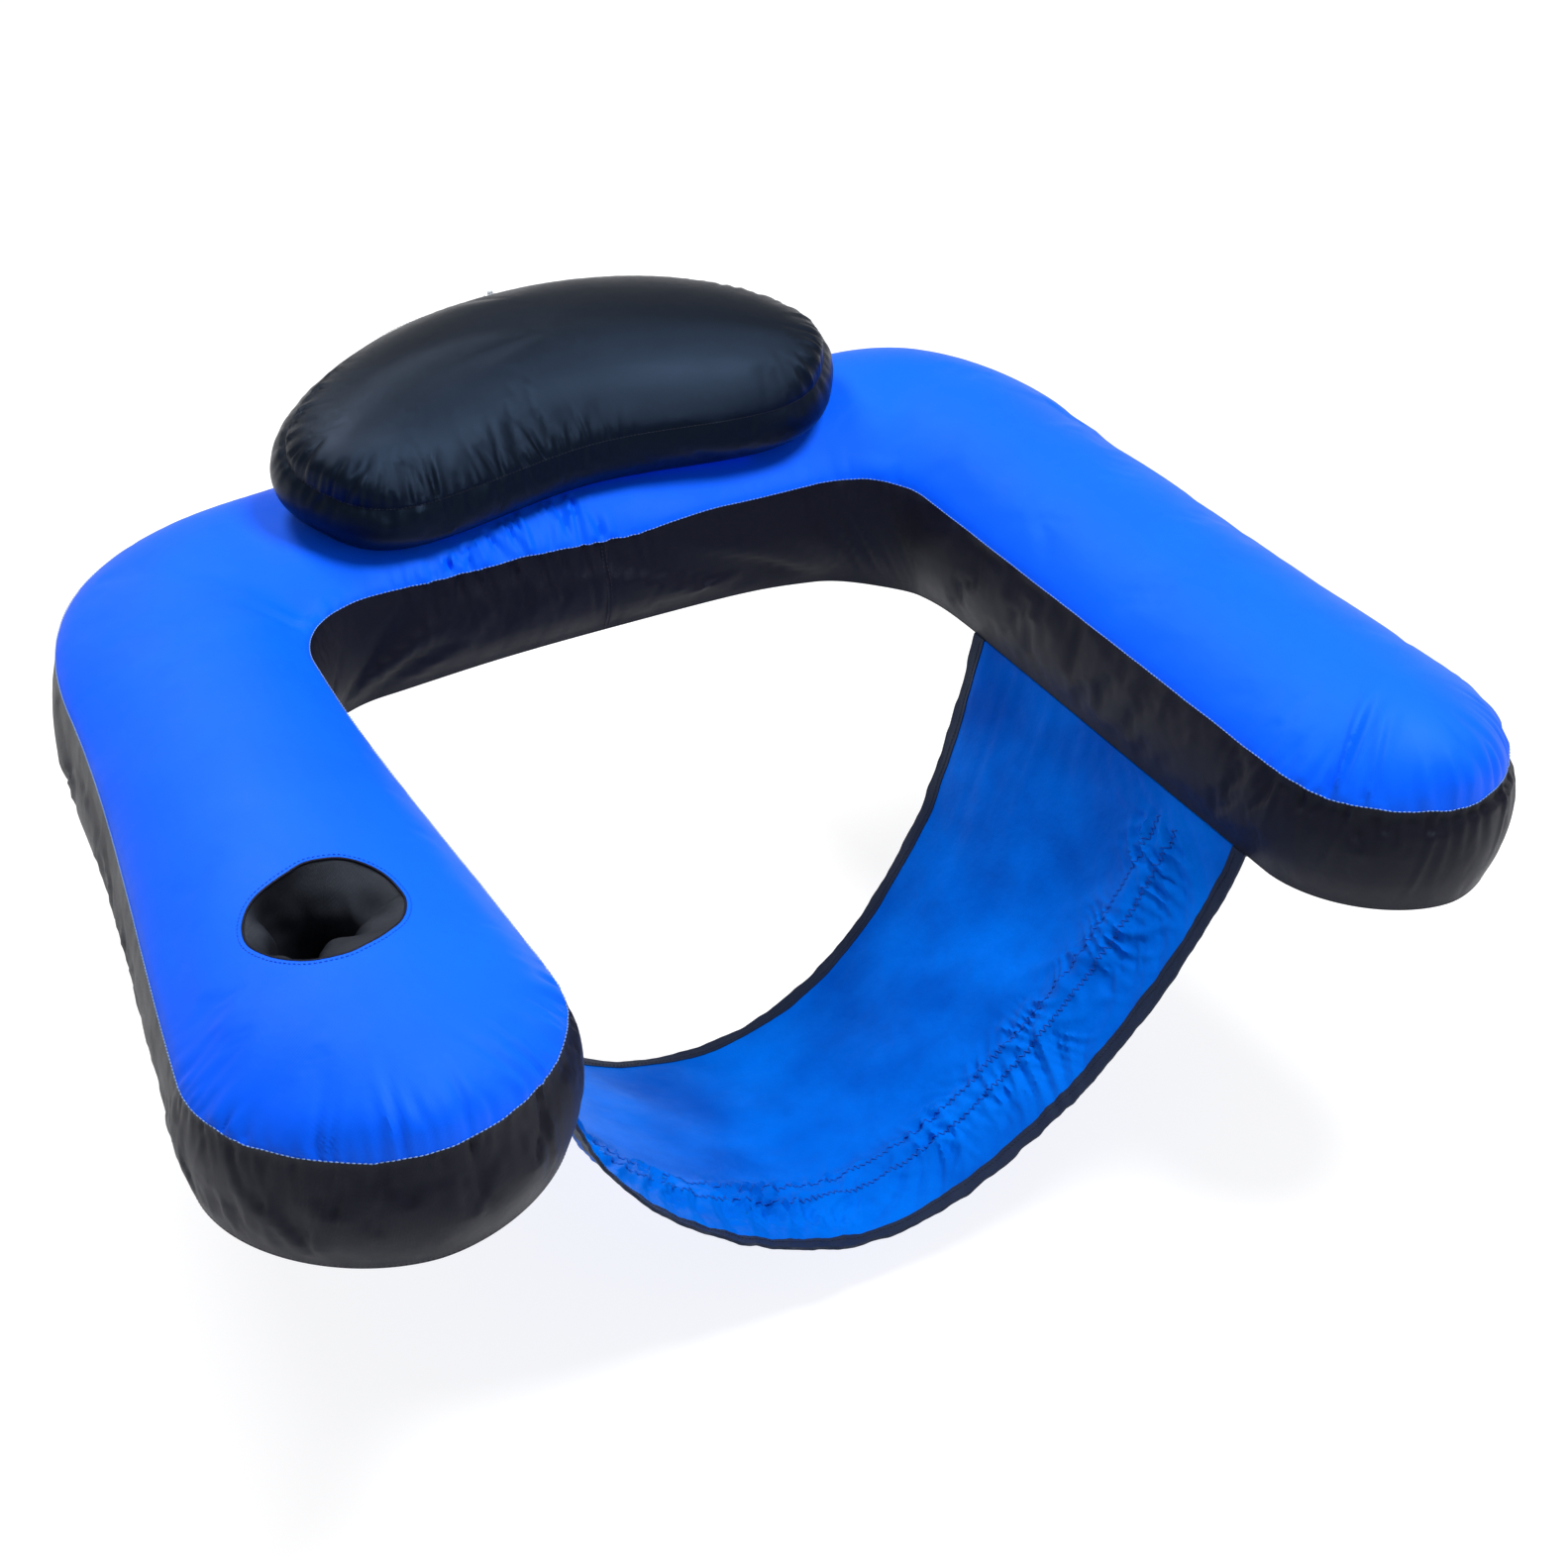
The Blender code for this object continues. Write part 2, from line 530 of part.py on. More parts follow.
# ---------------------------------------------------------------- inflation valves
def build_valve(prefix, wall, parent):
    """A flip-cap valve.  The local +Y axis points out of the wall, whose outer face is at y = 0."""
    origin = empty(prefix + "_valve_axis", wall, parent=parent)
    flange = VALVE_FLANGE[prefix]
    bore, body = VALVE_BODY
    rest = VALVE_SEAT + VALVE_FLANGE_THICK
    web = VALVE_SEAT + VALVE_WEB
    stem_profile = [(0.0, VALVE_SEAT), (flange, VALVE_SEAT), (flange, rest), (body, rest),
                    (body, VALVE_MOUTH), (bore, VALVE_MOUTH), (bore, web), (0.0, web)]
    stem = turned(prefix + "_valve_stem", stem_profile, "clear_vinyl", origin)
    lug = box(prefix + "_valve_lug", (-LUG_HALF, LUG_OUT[0], LUG_SPAN[0]),
              (LUG_HALF, LUG_OUT[1], LUG_SPAN[1]), None, origin, CUTTERS)
    combine(stem, lug, "UNION")
    low, high = (VALVE_SEAT + step for step in FLAP_SPAN)
    turned(prefix + "_valve_flap", [(0.0, low), (FLAP_RADIUS, low), (FLAP_RADIUS, high), (0.0, high)],
           "clear_vinyl", origin)
    inner, neck, outer = GROMMET_RADII
    foot, step, top = GROMMET_STEPS
    turned(prefix + "_valve_grommet",
           [(inner, foot), (neck, foot), (neck, step), (outer, step), (outer, top), (inner, top)],
           "zip_plastic", origin)
    out, down = CAP_PIVOT
    hinge = empty(prefix + "_valve_cap_hinge", (0.0, out, down), parent=origin)
    plug, disc = CAP_RADII
    foot, step, top = CAP_STEPS
    cap = turned(prefix + "_valve_cap", [(0.0, foot), (plug, foot), (plug, step), (disc, step), (disc, top),
                                         (0.0, top)], "clear_vinyl", hinge)
    cap.location = (0.0, 0.0, -down)
    strap = box(prefix + "_cap_strap", (-LUG_HALF, STRAP_STEPS[0], 0.0),
                (LUG_HALF, STRAP_STEPS[1], STRAP_REACH), None, hinge, CUTTERS)
    grip = box(prefix + "_cap_grip", (-GRIP_HALF, GRIP_STEPS[0], GRIP_SPAN[0]),
               (GRIP_HALF, GRIP_STEPS[1], GRIP_SPAN[1]), None, hinge, CUTTERS)
    combine(cap, strap, "UNION")
    combine(cap, grip, "UNION")


def valve_hole(prefix, target, wall, parent):
    cutter = turned(prefix + "_valve_hole", [(0.0, -HOLE_DEPTH), (VALVE_HOLE, -HOLE_DEPTH),
                                             (VALVE_HOLE, HOLE_DEPTH), (0.0, HOLE_DEPTH)],
                    None, parent, 24, CUTTERS)
    cutter.location = wall
    combine(target, cutter, "DIFFERENCE")


# ---------------------------------------------------------------- cup pocket
def arm_distance_at(side, y):
    arm = ARMS[side]
    turn = math.pi / 2 - arm["splay"]
    corner_end = BACK_HALF_STRAIGHT + arm["corner_radius"] * turn
    corner_y = -arm["corner_radius"] * (1 - math.cos(turn))
    return corner_end + (corner_y - y) / math.sin(turn)


def left_arm_surface(x, y):
    """Height of the left arm's crown above the point (x, y)."""
    s = arm_distance_at(-1, y)
    station = arm_station(-1, s)
    off = (Vector((x, y)) - station.centre).dot(station.normal)
    return crown_height(-1, s, min(abs(off) / station.half_width, 1.0))


def build_cup(top, bladder):
    angles = [math.tau * k / CUP_STEPS for k in range(CUP_STEPS)]
    cx, cy = CUP_CENTRE
    rows = []
    for angle in angles:
        row = []
        for share, radius in CUP_PROFILE:
            x = cx + radius * math.cos(angle)
            y = cy + radius * math.sin(angle)
            mouth = left_arm_surface(x, y) - CUP_MOUTH_DROP
            row.append((x, y, CUP_FLOOR + (mouth - CUP_FLOOR) * share))
        rows.append(row)
    sheet("cup_sleeve", rows, CUP_FABRIC, "black_satin", closed=True, offset=-1.0)
    radius = CUP_BOTTOM_RADIUS - CUP_FLOOR_MARGIN
    profile = [(0.0, -CUP_FLOOR_FABRIC), (radius, -CUP_FLOOR_FABRIC), (radius, 0.0), (0.0, 0.0)]
    floor = turned("cup_floor", profile, "black_satin", None, CUP_STEPS)
    floor.location = (cx, cy, CUP_FLOOR)
    floor.rotation_euler = (math.pi / 2, 0.0, 0.0)
    rim = bpy.data.curves.new("cup_rim_binding", "CURVE")
    rim.dimensions = "3D"
    spline = rim.splines.new("POLY")
    spline.points.add(CUP_STEPS - 1)
    for point, angle in zip(spline.points, angles):
        x = cx + (CUP_RADIUS - CUP_RIM_INSET) * math.cos(angle)
        y = cy + (CUP_RADIUS - CUP_RIM_INSET) * math.sin(angle)
        point.co = (x, y, left_arm_surface(x, y) - CUP_RIM_DROP, 1.0)
    spline.use_cyclic_u = True
    rim.bevel_depth = CUP_RIM_RADIUS
    rim.bevel_resolution = 2
    ring = bpy.data.objects.new("cup_rim_binding", rim)
    PARTS.objects.link(ring)
    rim.materials.append(material("black_satin", "cup_rim_binding"))
    for target, hole in ((top, CUP_PANEL_HOLE), (bladder, CUP_BLADDER_HOLE)):
        low, high, low_radius, high_radius = hole
        bm = bmesh.new()
        place = Matrix.Translation((cx, cy, (low + high) / 2))
        bmesh.ops.create_cone(bm, cap_ends=True, segments=CUP_STEPS, radius1=low_radius, radius2=high_radius,
                              depth=high - low, matrix=place)
        cutter = finish_mesh(target.name + "_cup_cutter", bm, None, None, CUTTERS)
        combine(target, cutter, "DIFFERENCE")


# ---------------------------------------------------------------- hanging seat
def inner_edge(side, y):
    """The bottom inner edge of an arm at the given y, with the arm's outward normal."""
    station = arm_station(side, arm_distance_at(side, y))
    for _ in range(3):
        lag = station.centre.y - station.normal.y * station.half_width - y
        station = arm_station(side, arm_distance_at(side, station.centre.y - lag))
    return station.centre - station.normal * station.half_width, station.normal


def seat_point(v, angle, below=0.0):
    """A point of the seat: v runs from its rear edge to its front edge, angle from left to right."""
    y = SEAT_REAR_Y + (SEAT_FRONT_Y - SEAT_REAR_Y) * v
    left, _ = inner_edge(-1, y)
    right, _ = inner_edge(1, y)
    exponent = SEAT_REAR_EXPONENT + (SEAT_FRONT_EXPONENT - SEAT_REAR_EXPONENT) * v
    across = math.copysign(abs(math.sin(angle)) ** (2 / exponent), angle)
    down = max(math.cos(angle), 0.0) ** (2 / exponent)
    depth = SEAT_REAR_DEPTH + (SEAT_FRONT_DEPTH - SEAT_REAR_DEPTH) * v + below
    half = (right.x - left.x) / 2 + below - SEAT_EDGE_GAP
    x = (left.x + right.x) / 2 + half * across + SEAT_SHIFT * down
    if across > 0:
        x -= SEAT_RIGHT_SLACK * 4 * down * (1 - down)
    return (x, y - SEAT_LEAN * (1 - v) * down, SEAT_TOP - depth * down)


def seat_rows(v_low, v_high, steps, below=0.0, reach=1.0, columns=28):
    rows = []
    for k in range(columns + 1):
        angle = math.pi / 2 * reach * (2 * k / columns - 1)
        rows.append([seat_point(v_low + (v_high - v_low) * j / steps, angle, below) for j in range(steps + 1)])
    return rows


def build_seat():
    sheet("seat_panel", seat_rows(SEAT_BINDING, 1 - SEAT_BINDING, 6), SEAT_FABRIC, "seat_nylon", offset=0.0)
    sheet("seat_rear_binding", seat_rows(0.0, SEAT_BINDING - SEAT_SLIT, 1), SEAT_BINDING_FABRIC, "navy_nylon",
          offset=0.0)
    sheet("seat_front_binding", seat_rows(1 - SEAT_BINDING + SEAT_SLIT, 1.0, 1), SEAT_BINDING_FABRIC,
          "navy_nylon", offset=0.0)
    sheet("seat_elastic_band", seat_rows(*SEAT_ELASTIC, 1, ELASTIC_BELOW, ELASTIC_REACH), ELASTIC_FABRIC,
          "elastic", offset=0.0)
    for name, side in (("left", -1), ("right", 1)):
        rows = []
        for k in range(HEM_STEPS + 1):
            y = SEAT_REAR_Y + (SEAT_FRONT_Y - SEAT_REAR_Y) * k / HEM_STEPS
            edge, normal = inner_edge(side, y)
            near = edge + normal * HEM_START
            far = edge + normal * HEM_WIDTH
            rows.append([(near.x, near.y, HEM_TOP), (far.x, far.y, HEM_TOP)][::side])
        sheet("seat_" + name + "_hem", rows, HEM_FABRIC, "navy_nylon", offset=-1.0)


# ---------------------------------------------------------------- head pillow
def pillow_place():
    turn = Euler((PILLOW_TILT, -PILLOW_LEAN, 0.0), "XYZ")
    return Matrix.Translation(PILLOW_CENTRE) @ turn.to_matrix().to_4x4()


def build_pillow():
    place = pillow_place()
    pivot = empty("pillow_hinge", place @ Vector((0.0, PILLOW_HINGE_Y, 0.0)), place.to_euler())
    frame = empty("pillow_frame", (0.0, -PILLOW_HINGE_Y, 0.0), parent=pivot)
    stations = pillow_stations()
    rows = [crown_profile(station, PILLOW_GUSSET, 8) for station in stations]
    sheet("pillow_top_panel", rows, FABRIC, "black_satin", frame)
    rows = wall_rows(outline(stations), FABRIC + GAP, PILLOW_GUSSET - GAP, PILLOW_GUSSET, PILLOW_BULGE, 4)
    gusset = sheet("pillow_gusset", rows, FABRIC, "black_satin", frame, closed=True)
    rows = [[s.point(s.half_width, 0.0), s.point(-s.half_width, 0.0)] for s in stations]
    sheet("pillow_bottom_panel", rows, FABRIC, "black_satin", frame)
    rings = body_rings(pillow_stations(BLADDER_INSET), BLADDER_BOTTOM, PILLOW_GUSSET - BLADDER_INSET,
                       PILLOW_BULGE, PILLOW_GUSSET)
    loft("pillow_bladder", rings, "vinyl", frame)
    wall = (0.0, PILLOW_HALF_DEPTH + PILLOW_BULGE, PILLOW_GUSSET / 2)
    valve_hole("pillow", gusset, wall, frame)
    build_valve("pillow", wall, frame)


def build_pillow_strip():
    """The strip of cover fabric that the pillow's front lower edge is sewn to."""
    place = pillow_place()
    rows = []
    for station in pillow_stations()[STRIP_SKIP:-STRIP_SKIP]:
        row = []
        for inset in STRIP_INSETS:
            point = place @ Vector(station.point(inset - station.half_width, 0.0))
            side = 1 if point.x >= 0 else -1
            u = point.y / ARMS[side]["half_widths"][0]
            row.append((point.x, point.y, crown_height(side, abs(point.x), u) + STRIP_LIFT))
        rows.append(row)
    sheet("pillow_sewn_strip", rows, STRIP_FABRIC, "blue_nylon", offset=1.0)


# ---------------------------------------------------------------- build
clear_scene()
PARTS = new_collection(OBJECT_NAME)
CUTTERS = new_collection(OBJECT_NAME + "_cutters")
tube = tube_stations()
top_panel, right_gusset, opening = build_cover(tube)
main_bladder = build_main_bladder()
build_zipper(opening)
valve_wall = (VALVE_X, ARMS[1]["half_widths"][0] + WALL_BULGE, ZIP_HEIGHT)
valve_hole("main", right_gusset, valve_wall, None)
build_valve("main", valve_wall, None)
build_cup(top_panel, main_bladder)
build_seat()
build_pillow()
build_pillow_strip()
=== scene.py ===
"""The looks of an inflatable pool float: a cloth-covered U-shaped tube, a head pillow and a hanging seat.

Every length is in metres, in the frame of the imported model: +Z up, arms towards -Y, z = 0 the flat underside.
"""
import math

import bmesh
import bpy
import numpy as np
from mathutils import Euler, Matrix, Vector
from mathutils.kdtree import KDTree


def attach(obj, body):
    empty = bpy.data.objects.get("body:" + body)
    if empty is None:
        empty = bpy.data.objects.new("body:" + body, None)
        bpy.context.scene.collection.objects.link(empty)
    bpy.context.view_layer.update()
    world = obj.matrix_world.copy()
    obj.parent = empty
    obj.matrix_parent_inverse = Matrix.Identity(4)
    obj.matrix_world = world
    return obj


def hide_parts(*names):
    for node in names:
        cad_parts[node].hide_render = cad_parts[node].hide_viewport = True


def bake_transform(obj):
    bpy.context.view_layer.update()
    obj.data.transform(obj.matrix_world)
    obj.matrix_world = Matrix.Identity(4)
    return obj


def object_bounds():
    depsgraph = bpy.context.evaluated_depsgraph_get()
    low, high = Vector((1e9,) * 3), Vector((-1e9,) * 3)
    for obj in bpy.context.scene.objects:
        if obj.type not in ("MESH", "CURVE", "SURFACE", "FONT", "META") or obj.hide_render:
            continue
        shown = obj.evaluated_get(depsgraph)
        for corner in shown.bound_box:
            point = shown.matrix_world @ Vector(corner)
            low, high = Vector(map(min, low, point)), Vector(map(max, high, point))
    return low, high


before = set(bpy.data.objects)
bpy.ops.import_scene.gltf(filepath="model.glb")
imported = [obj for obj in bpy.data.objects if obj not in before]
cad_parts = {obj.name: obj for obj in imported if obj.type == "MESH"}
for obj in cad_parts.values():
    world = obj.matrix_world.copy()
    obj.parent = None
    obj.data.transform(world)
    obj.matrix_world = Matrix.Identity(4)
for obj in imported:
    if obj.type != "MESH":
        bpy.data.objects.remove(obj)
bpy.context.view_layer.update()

# ---- the tube's shape, as the CAD has it
BACK_HALF_STRAIGHT = 0.1945          # half of the back between the corners
TIP_EXPONENT = 1.81                  # of the superellipse that rounds each arm's tip
SEAM_HEIGHT = 0.0863
WALL_BULGE = 0.0073
CROWN_EXPONENT = 0.8
TIP_CROWN_EXPONENT = 0.7
SKIRT = 0.002                        # steep rise of the top right beside its seam
ARMS = {
    -1: dict(corner_radius=0.1665, splay=math.radians(3.4), length=0.5376, tip_length=0.117,
             half_widths=(0.0947, 0.0906, 0.1257), corner_fullness=0.012,
             crowns=(0.0355, 0.0270, 0.0452), crown_start=0.06),
    1: dict(corner_radius=0.1598, splay=math.radians(3.1), length=0.5503, tip_length=0.096,
            half_widths=(0.0947, 0.0898, 0.0937), corner_fullness=0.026,
            crowns=(0.0355, 0.0559, 0.0524), crown_start=0.1945),
}
ZIP_LEFT = -0.190
ZIP_RIGHT = 0.120
ZIP_HEIGHT = 0.0432
ZIP_SLOT = 0.0098
ZIP_TURNS = 240                      # of each of the zipper's coils
VALVE_X = 0.160
VALVE_HOLE = 0.0092
BACK_HALF_WIDTH = ARMS[1]["half_widths"][0]
WALL_Y = BACK_HALF_WIDTH + WALL_BULGE
INNER_LEFT = (-0.245, -0.116)        # the inner corners of the top seam
INNER_RIGHT = (0.240, -0.114)
FRONT_SEAM = (-0.12, -0.05)          # the y between which the back's inner seam runs
PILLOW_FRONT_Y = -0.0597             # where the pillow's front edge stands over the cover
PILLOW_FRONT_BOW = 0.0681            # and how far it is bowed at its ends

LONG_FOLDS = (                       # start, end, width and height of single folds of the top panel
    ((0.303, -0.650), (0.3600, -0.6080), 0.0034, 0.0050),
    ((0.316, -0.668), (0.3580, -0.6260), 0.0030, 0.0028),
    ((-0.262, -0.122), (-0.3150, -0.0900), 0.0060, -0.0030),
)

CUP_CENTRE = (-0.3846, -0.502)
CUP_RADIUS = 0.052
CUP_BOTTOM_RADIUS = 0.042
CUP_FLOOR = 0.048
CUP_CALM = 0.060                     # radius round it where the cover doesn't swell
CUP_FALL = (-0.009, 0.006)           # how far the empty pocket's middle sags aside
CUP_WALL_SHARE = 0.74                # of the lining's rows; the rest lie on its floor
CUP_PULLS = ((1.94, 0.50, -0.115), (5.17, 0.55, -0.070), (3.13, 0.28, 0.030), (0.80, 0.38, 0.030))
CUP_LOBES = (                        # angle, width, inward lean and lift of the broad folds of its wall
    (2.93, 0.46, 0.020, 0.012),
    (3.80, 0.32, 0.012, 0.008),
    (4.94, 0.62, 0.019, 0.010),
    (5.85, 0.30, 0.013, 0.007),
    (0.75, 0.70, 0.013, 0.006),
)

SEAT_REAR_Y = -0.237
SEAT_FRONT_Y = -0.587
SEAT_REAR_DEPTH = 0.304
SEAT_FRONT_DEPTH = 0.257
SEAT_REAR_EXPONENT = 1.9
SEAT_FRONT_EXPONENT = 1.6
SEAT_LEAN = 0.043
SEAT_SHIFT = -0.010
SEAT_RIGHT_SLACK = 0.013
SEAT_BINDING = 0.031
SEAT_ELASTIC = (0.735, 0.800)
SEAT_TOP = -0.0009
HEM_WIDTH = 0.018
ZIGZAG_SWING = 0.0070                # of the rows beside the elastic, as a share of the seat's width

PILLOW_CENTRE = (0.005, 0.030, 0.1435)
PILLOW_TILT = math.radians(16.9)
PILLOW_LEAN = math.radians(1.7)
PILLOW_HALF_LENGTH = 0.2186
PILLOW_HALF_DEPTH = 0.0937
PILLOW_BOW = 0.0712
PILLOW_EXPONENT = 2.79
PILLOW_GUSSET = 0.045
PILLOW_CROWN = 0.0359
PILLOW_BULGE = 0.011
STRIP_SEAM_Y = -0.049                # where the pillow's strip is sewn to the cover

FABRIC = 0.0008                      # thickness of the cover's cloth
BLADDER_BOTTOM = 0.0022
FINE_STEP = 0.0024                   # spacing of the tube's rows where the cover is gathered
COARSE_STEP = 0.0048                 # and elsewhere
RIM_ANGLE = math.radians(55)         # edges sharper than this are shaded as edges
SIM_STEP = 2                         # the simulated grid takes every second row and column
PRESSURE = 5.0                       # inside the tube and the pillow while their cloth is simulated
TUBE_CAP = 0.0045                    # the furthest that a point of the tube may move in it,
PILLOW_CAP = 0.006                   # of the pillow
SEAT_CAP = 0.012                     # and of the seat
TUBE_GRID = (81, 26)                 # columns of the tube's top and steps up its wall
PILLOW_GRID = (229, 97, 16)          # rows and columns of the pillow's top and steps up its wall
SEAT_ROWS = 381
CUP_GRID = (160, 64)                 # points round the cup's lining and down it
THREAD_LIFT = 0.0002                 # how far a row of stitches stands off its cloth
SEAM_FADE = 0.010                    # how far from the seam its wander dies out
LEAST_GATHER = 0.10                  # of the tube's top seam where nothing draws it in


# ---- small helpers
def smooth(t):
    t = np.clip(t, 0.0, 1.0)
    return t * t * (3 - 2 * t)


def between(x, low, high, rise, fall=None):
    """1 between low and high, falling softly to 0 at both, over rise and fall."""
    return smooth((x - low) / rise) * smooth((high - x) / (fall or rise))


def hill(x, width):
    """1 at x = 0, falling to nothing over a few widths."""
    return np.exp(-(x / width) ** 2)


def xyz(*parts):
    return np.stack(parts, axis=-1)


def unit(vectors):
    return vectors / np.maximum(np.linalg.norm(vectors, axis=-1)[..., None], 1e-12)


def turned(angle, centre):
    """Angles from a centre, between 0 and half a turn."""
    return np.abs((angle - centre + math.pi) % math.tau - math.pi)


def reach_of(steps):
    """Distance along a path at each of its points, from the lengths of its steps."""
    return np.concatenate([[0], steps.cumsum()])


def respaced(places, gap):
    """Places whose neighbours lie gap apart, in an even number of steps."""
    count = reach_of(np.diff(places) / gap[1:])
    return np.interp(np.linspace(0, count[-1], 2 * int(count[-1] / 2) + 1), count, places)


def field(points, size, seed, stretch=(1.0, 1.0, 1.0), count=14):
    """A smooth random field, mostly between -1 and 1, with lumps about size across."""
    rng = np.random.RandomState(seed)
    directions = rng.normal(size=(count, 3))
    directions /= np.linalg.norm(directions, axis=1)[:, None]
    lengths = size * rng.uniform(0.8, 1.9, count)
    phases = rng.uniform(0, 2 * math.pi, count)
    waves = np.asarray(points) * np.asarray(stretch) @ (directions / lengths[:, None]).T
    return np.cos(2 * math.pi * waves + phases).sum(axis=-1) * math.sqrt(1.0 / count)


def grid_faces(ids, closed=False):
    """Quads over a grid of vertex numbers."""
    following = np.roll(ids, -1, axis=0) if closed else ids[1:]
    this = ids if closed else ids[:-1]
    quads = np.stack([this[:, :-1], following[:, :-1], following[:, 1:], this[:, 1:]], axis=-1)
    return quads.reshape(-1, 4)


def add_object(name, data):
    item = bpy.data.objects.new(name, data)
    bpy.context.scene.collection.objects.link(item)
    return item


def mesh_object(name, points, faces, material=None, uv=None):
    mesh = bpy.data.meshes.new(name)
    if isinstance(faces, np.ndarray):
        faces = faces.tolist()
    mesh.from_pydata(np.asarray(points).reshape(-1, 3).tolist(), [], faces)
    if uv is not None:
        layer = mesh.uv_layers.new(name="UVMap")
        corners = np.empty(len(mesh.loops), dtype=np.int64)
        mesh.loops.foreach_get("vertex_index", corners)
        layer.data.foreach_set("uv", np.asarray(uv).reshape(-1, 2)[corners].ravel())
    mesh.shade_smooth()
    if material:
        mesh.materials.append(material)
    return add_object(name, mesh)


def grid_piece(name, points, material, closed=False, flip=False):
    """A piece from an array of points, rows by columns by 3."""
    rows, columns = points.shape[:2]
    faces = grid_faces(np.arange(rows * columns).reshape(rows, columns), closed)
    if flip:
        faces = faces[:, ::-1]
    return mesh_object(name, points, faces, material, grid_uv(points))


def grid_uv(points):
    """Distances in metres along the rows and the columns of a grid."""
    rows, columns = points.shape[:2]
    along = np.zeros((rows, columns))
    along[1:] = np.linalg.norm(np.diff(points, axis=0), axis=-1).mean(axis=1)[:, None].cumsum(axis=0)
    across = np.zeros((rows, columns))
    across[:, 1:] = np.linalg.norm(np.diff(points, axis=1), axis=-1).cumsum(axis=1)
    across -= across[:, columns // 2][:, None]
    return xyz(along, across)


def normals_of(points, closed=False):
    """Unit normals of a grid of points."""
    if closed:
        along = np.roll(points, -1, axis=0) - np.roll(points, 1, axis=0)
    else:
        along = np.gradient(points, axis=0)
    return unit(np.cross(along, np.gradient(points, axis=1)))


def thicken(piece, thickness, offset=-1.0):
    solid = piece.modifiers.new("thickness", "SOLIDIFY")
    solid.thickness = thickness
    solid.offset = offset
    solid.use_even_offset = False
    apply_modifiers(piece)
    piece.data.set_sharp_from_angle(angle=RIM_ANGLE)


def apply_modifiers(piece):
    graph = bpy.context.evaluated_depsgraph_get()
    mesh = bpy.data.meshes.new_from_object(piece.evaluated_get(graph), depsgraph=graph)
    piece.modifiers.clear()
    old = piece.data
    piece.data = mesh
    bpy.data.meshes.remove(old)
    mesh.name = piece.name


def change_mesh(piece, change):
    """Runs one change on a piece's mesh through bmesh."""
    bm = bmesh.new()
    bm.from_mesh(piece.data)
    change(bm)
    bm.to_mesh(piece.data)
    bm.free()


def weld(bm, distance):
    bmesh.ops.remove_doubles(bm, verts=bm.verts, dist=distance)


def outward(bm):
    bmesh.ops.recalc_face_normals(bm, faces=bm.faces)


def panel(name, nodes, points, material, slot, sheet=None, body="float", thickness=FABRIC, offset=-1.0,
          cutter=None, closed=False, flip=False):
    """A panel of cloth with its thickness, the CAD nodes it stands for and its body; the finish and flat size
    passed to it are not used.
    """
    piece = grid_piece(name, points, material, closed, flip=flip)
    thicken(piece, thickness, offset)
    if cutter:
        cut(piece, cutter)
    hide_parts(*nodes.split())
    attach(piece, body)
    return piece


def padded(piece, node, body):
    """A blown-up bladder: the CAD node it stands for and its body."""
    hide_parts(node)
    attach(piece, body)


def cut(piece, cutter):
    change = piece.modifiers.new("cut", "BOOLEAN")
    change.operation = "DIFFERENCE"
    change.solver = "EXACT"
    change.object = cutter
    apply_modifiers(piece)
    piece.data.set_sharp_from_angle(angle=RIM_ANGLE)
    bpy.data.objects.remove(cutter, do_unlink=True)


def upsample(values, rows, columns, closed=False):
    """A coarse grid of vectors, brought to a finer grid."""
    if closed:
        values = np.concatenate([values, values[:1]], axis=0)
        at = np.arange(rows) * (len(values) - 1) / rows
    else:
        at = np.linspace(0, len(values) - 1, rows)
    for places in (at, np.linspace(0, values.shape[1] - 1, columns)):
        low = np.minimum(places.astype(int), len(values) - 2)
        share = (places - low)[:, None, None]
        values = (values[low] * (1 - share) + values[low + 1] * share).swapaxes(0, 1)
    return values


def soften(values, passes, closed=False):
    """Neighbour averaging over a grid, which keeps its border."""
    for _ in range(passes):
        if closed:
            values = (np.roll(values, 1, axis=0) + 2 * values + np.roll(values, -1, axis=0)) / 4
        else:
            values = values.copy()
            values[1:-1] = (values[:-2] + 2 * values[1:-1] + values[2:]) / 4
        values = values.copy()
        values[:, 1:-1] = (values[:, :-2] + 2 * values[:, 1:-1] + values[:, 2:]) / 4
    return values


def local_part(shift, passes, keep, closed=False):
    """A shift without its broad part, of which the share keep stays."""
    return shift - soften(shift, passes, closed) * (1 - keep)


# ---- outlines
def blend_knots(s, knots, values):
    result = np.full_like(s, values[0])
    for k in range(len(knots) - 1):
        result = result + (values[k + 1] - values[k]) * smooth((s - knots[k]) / (knots[k + 1] - knots[k]))
    return result


def arm_turn(side):
    """An arm's values, the angle that its corner turns through and the corner's length."""
    arm = ARMS[side]
    turn = math.pi / 2 - arm["splay"]
    return arm, turn, arm["corner_radius"] * turn


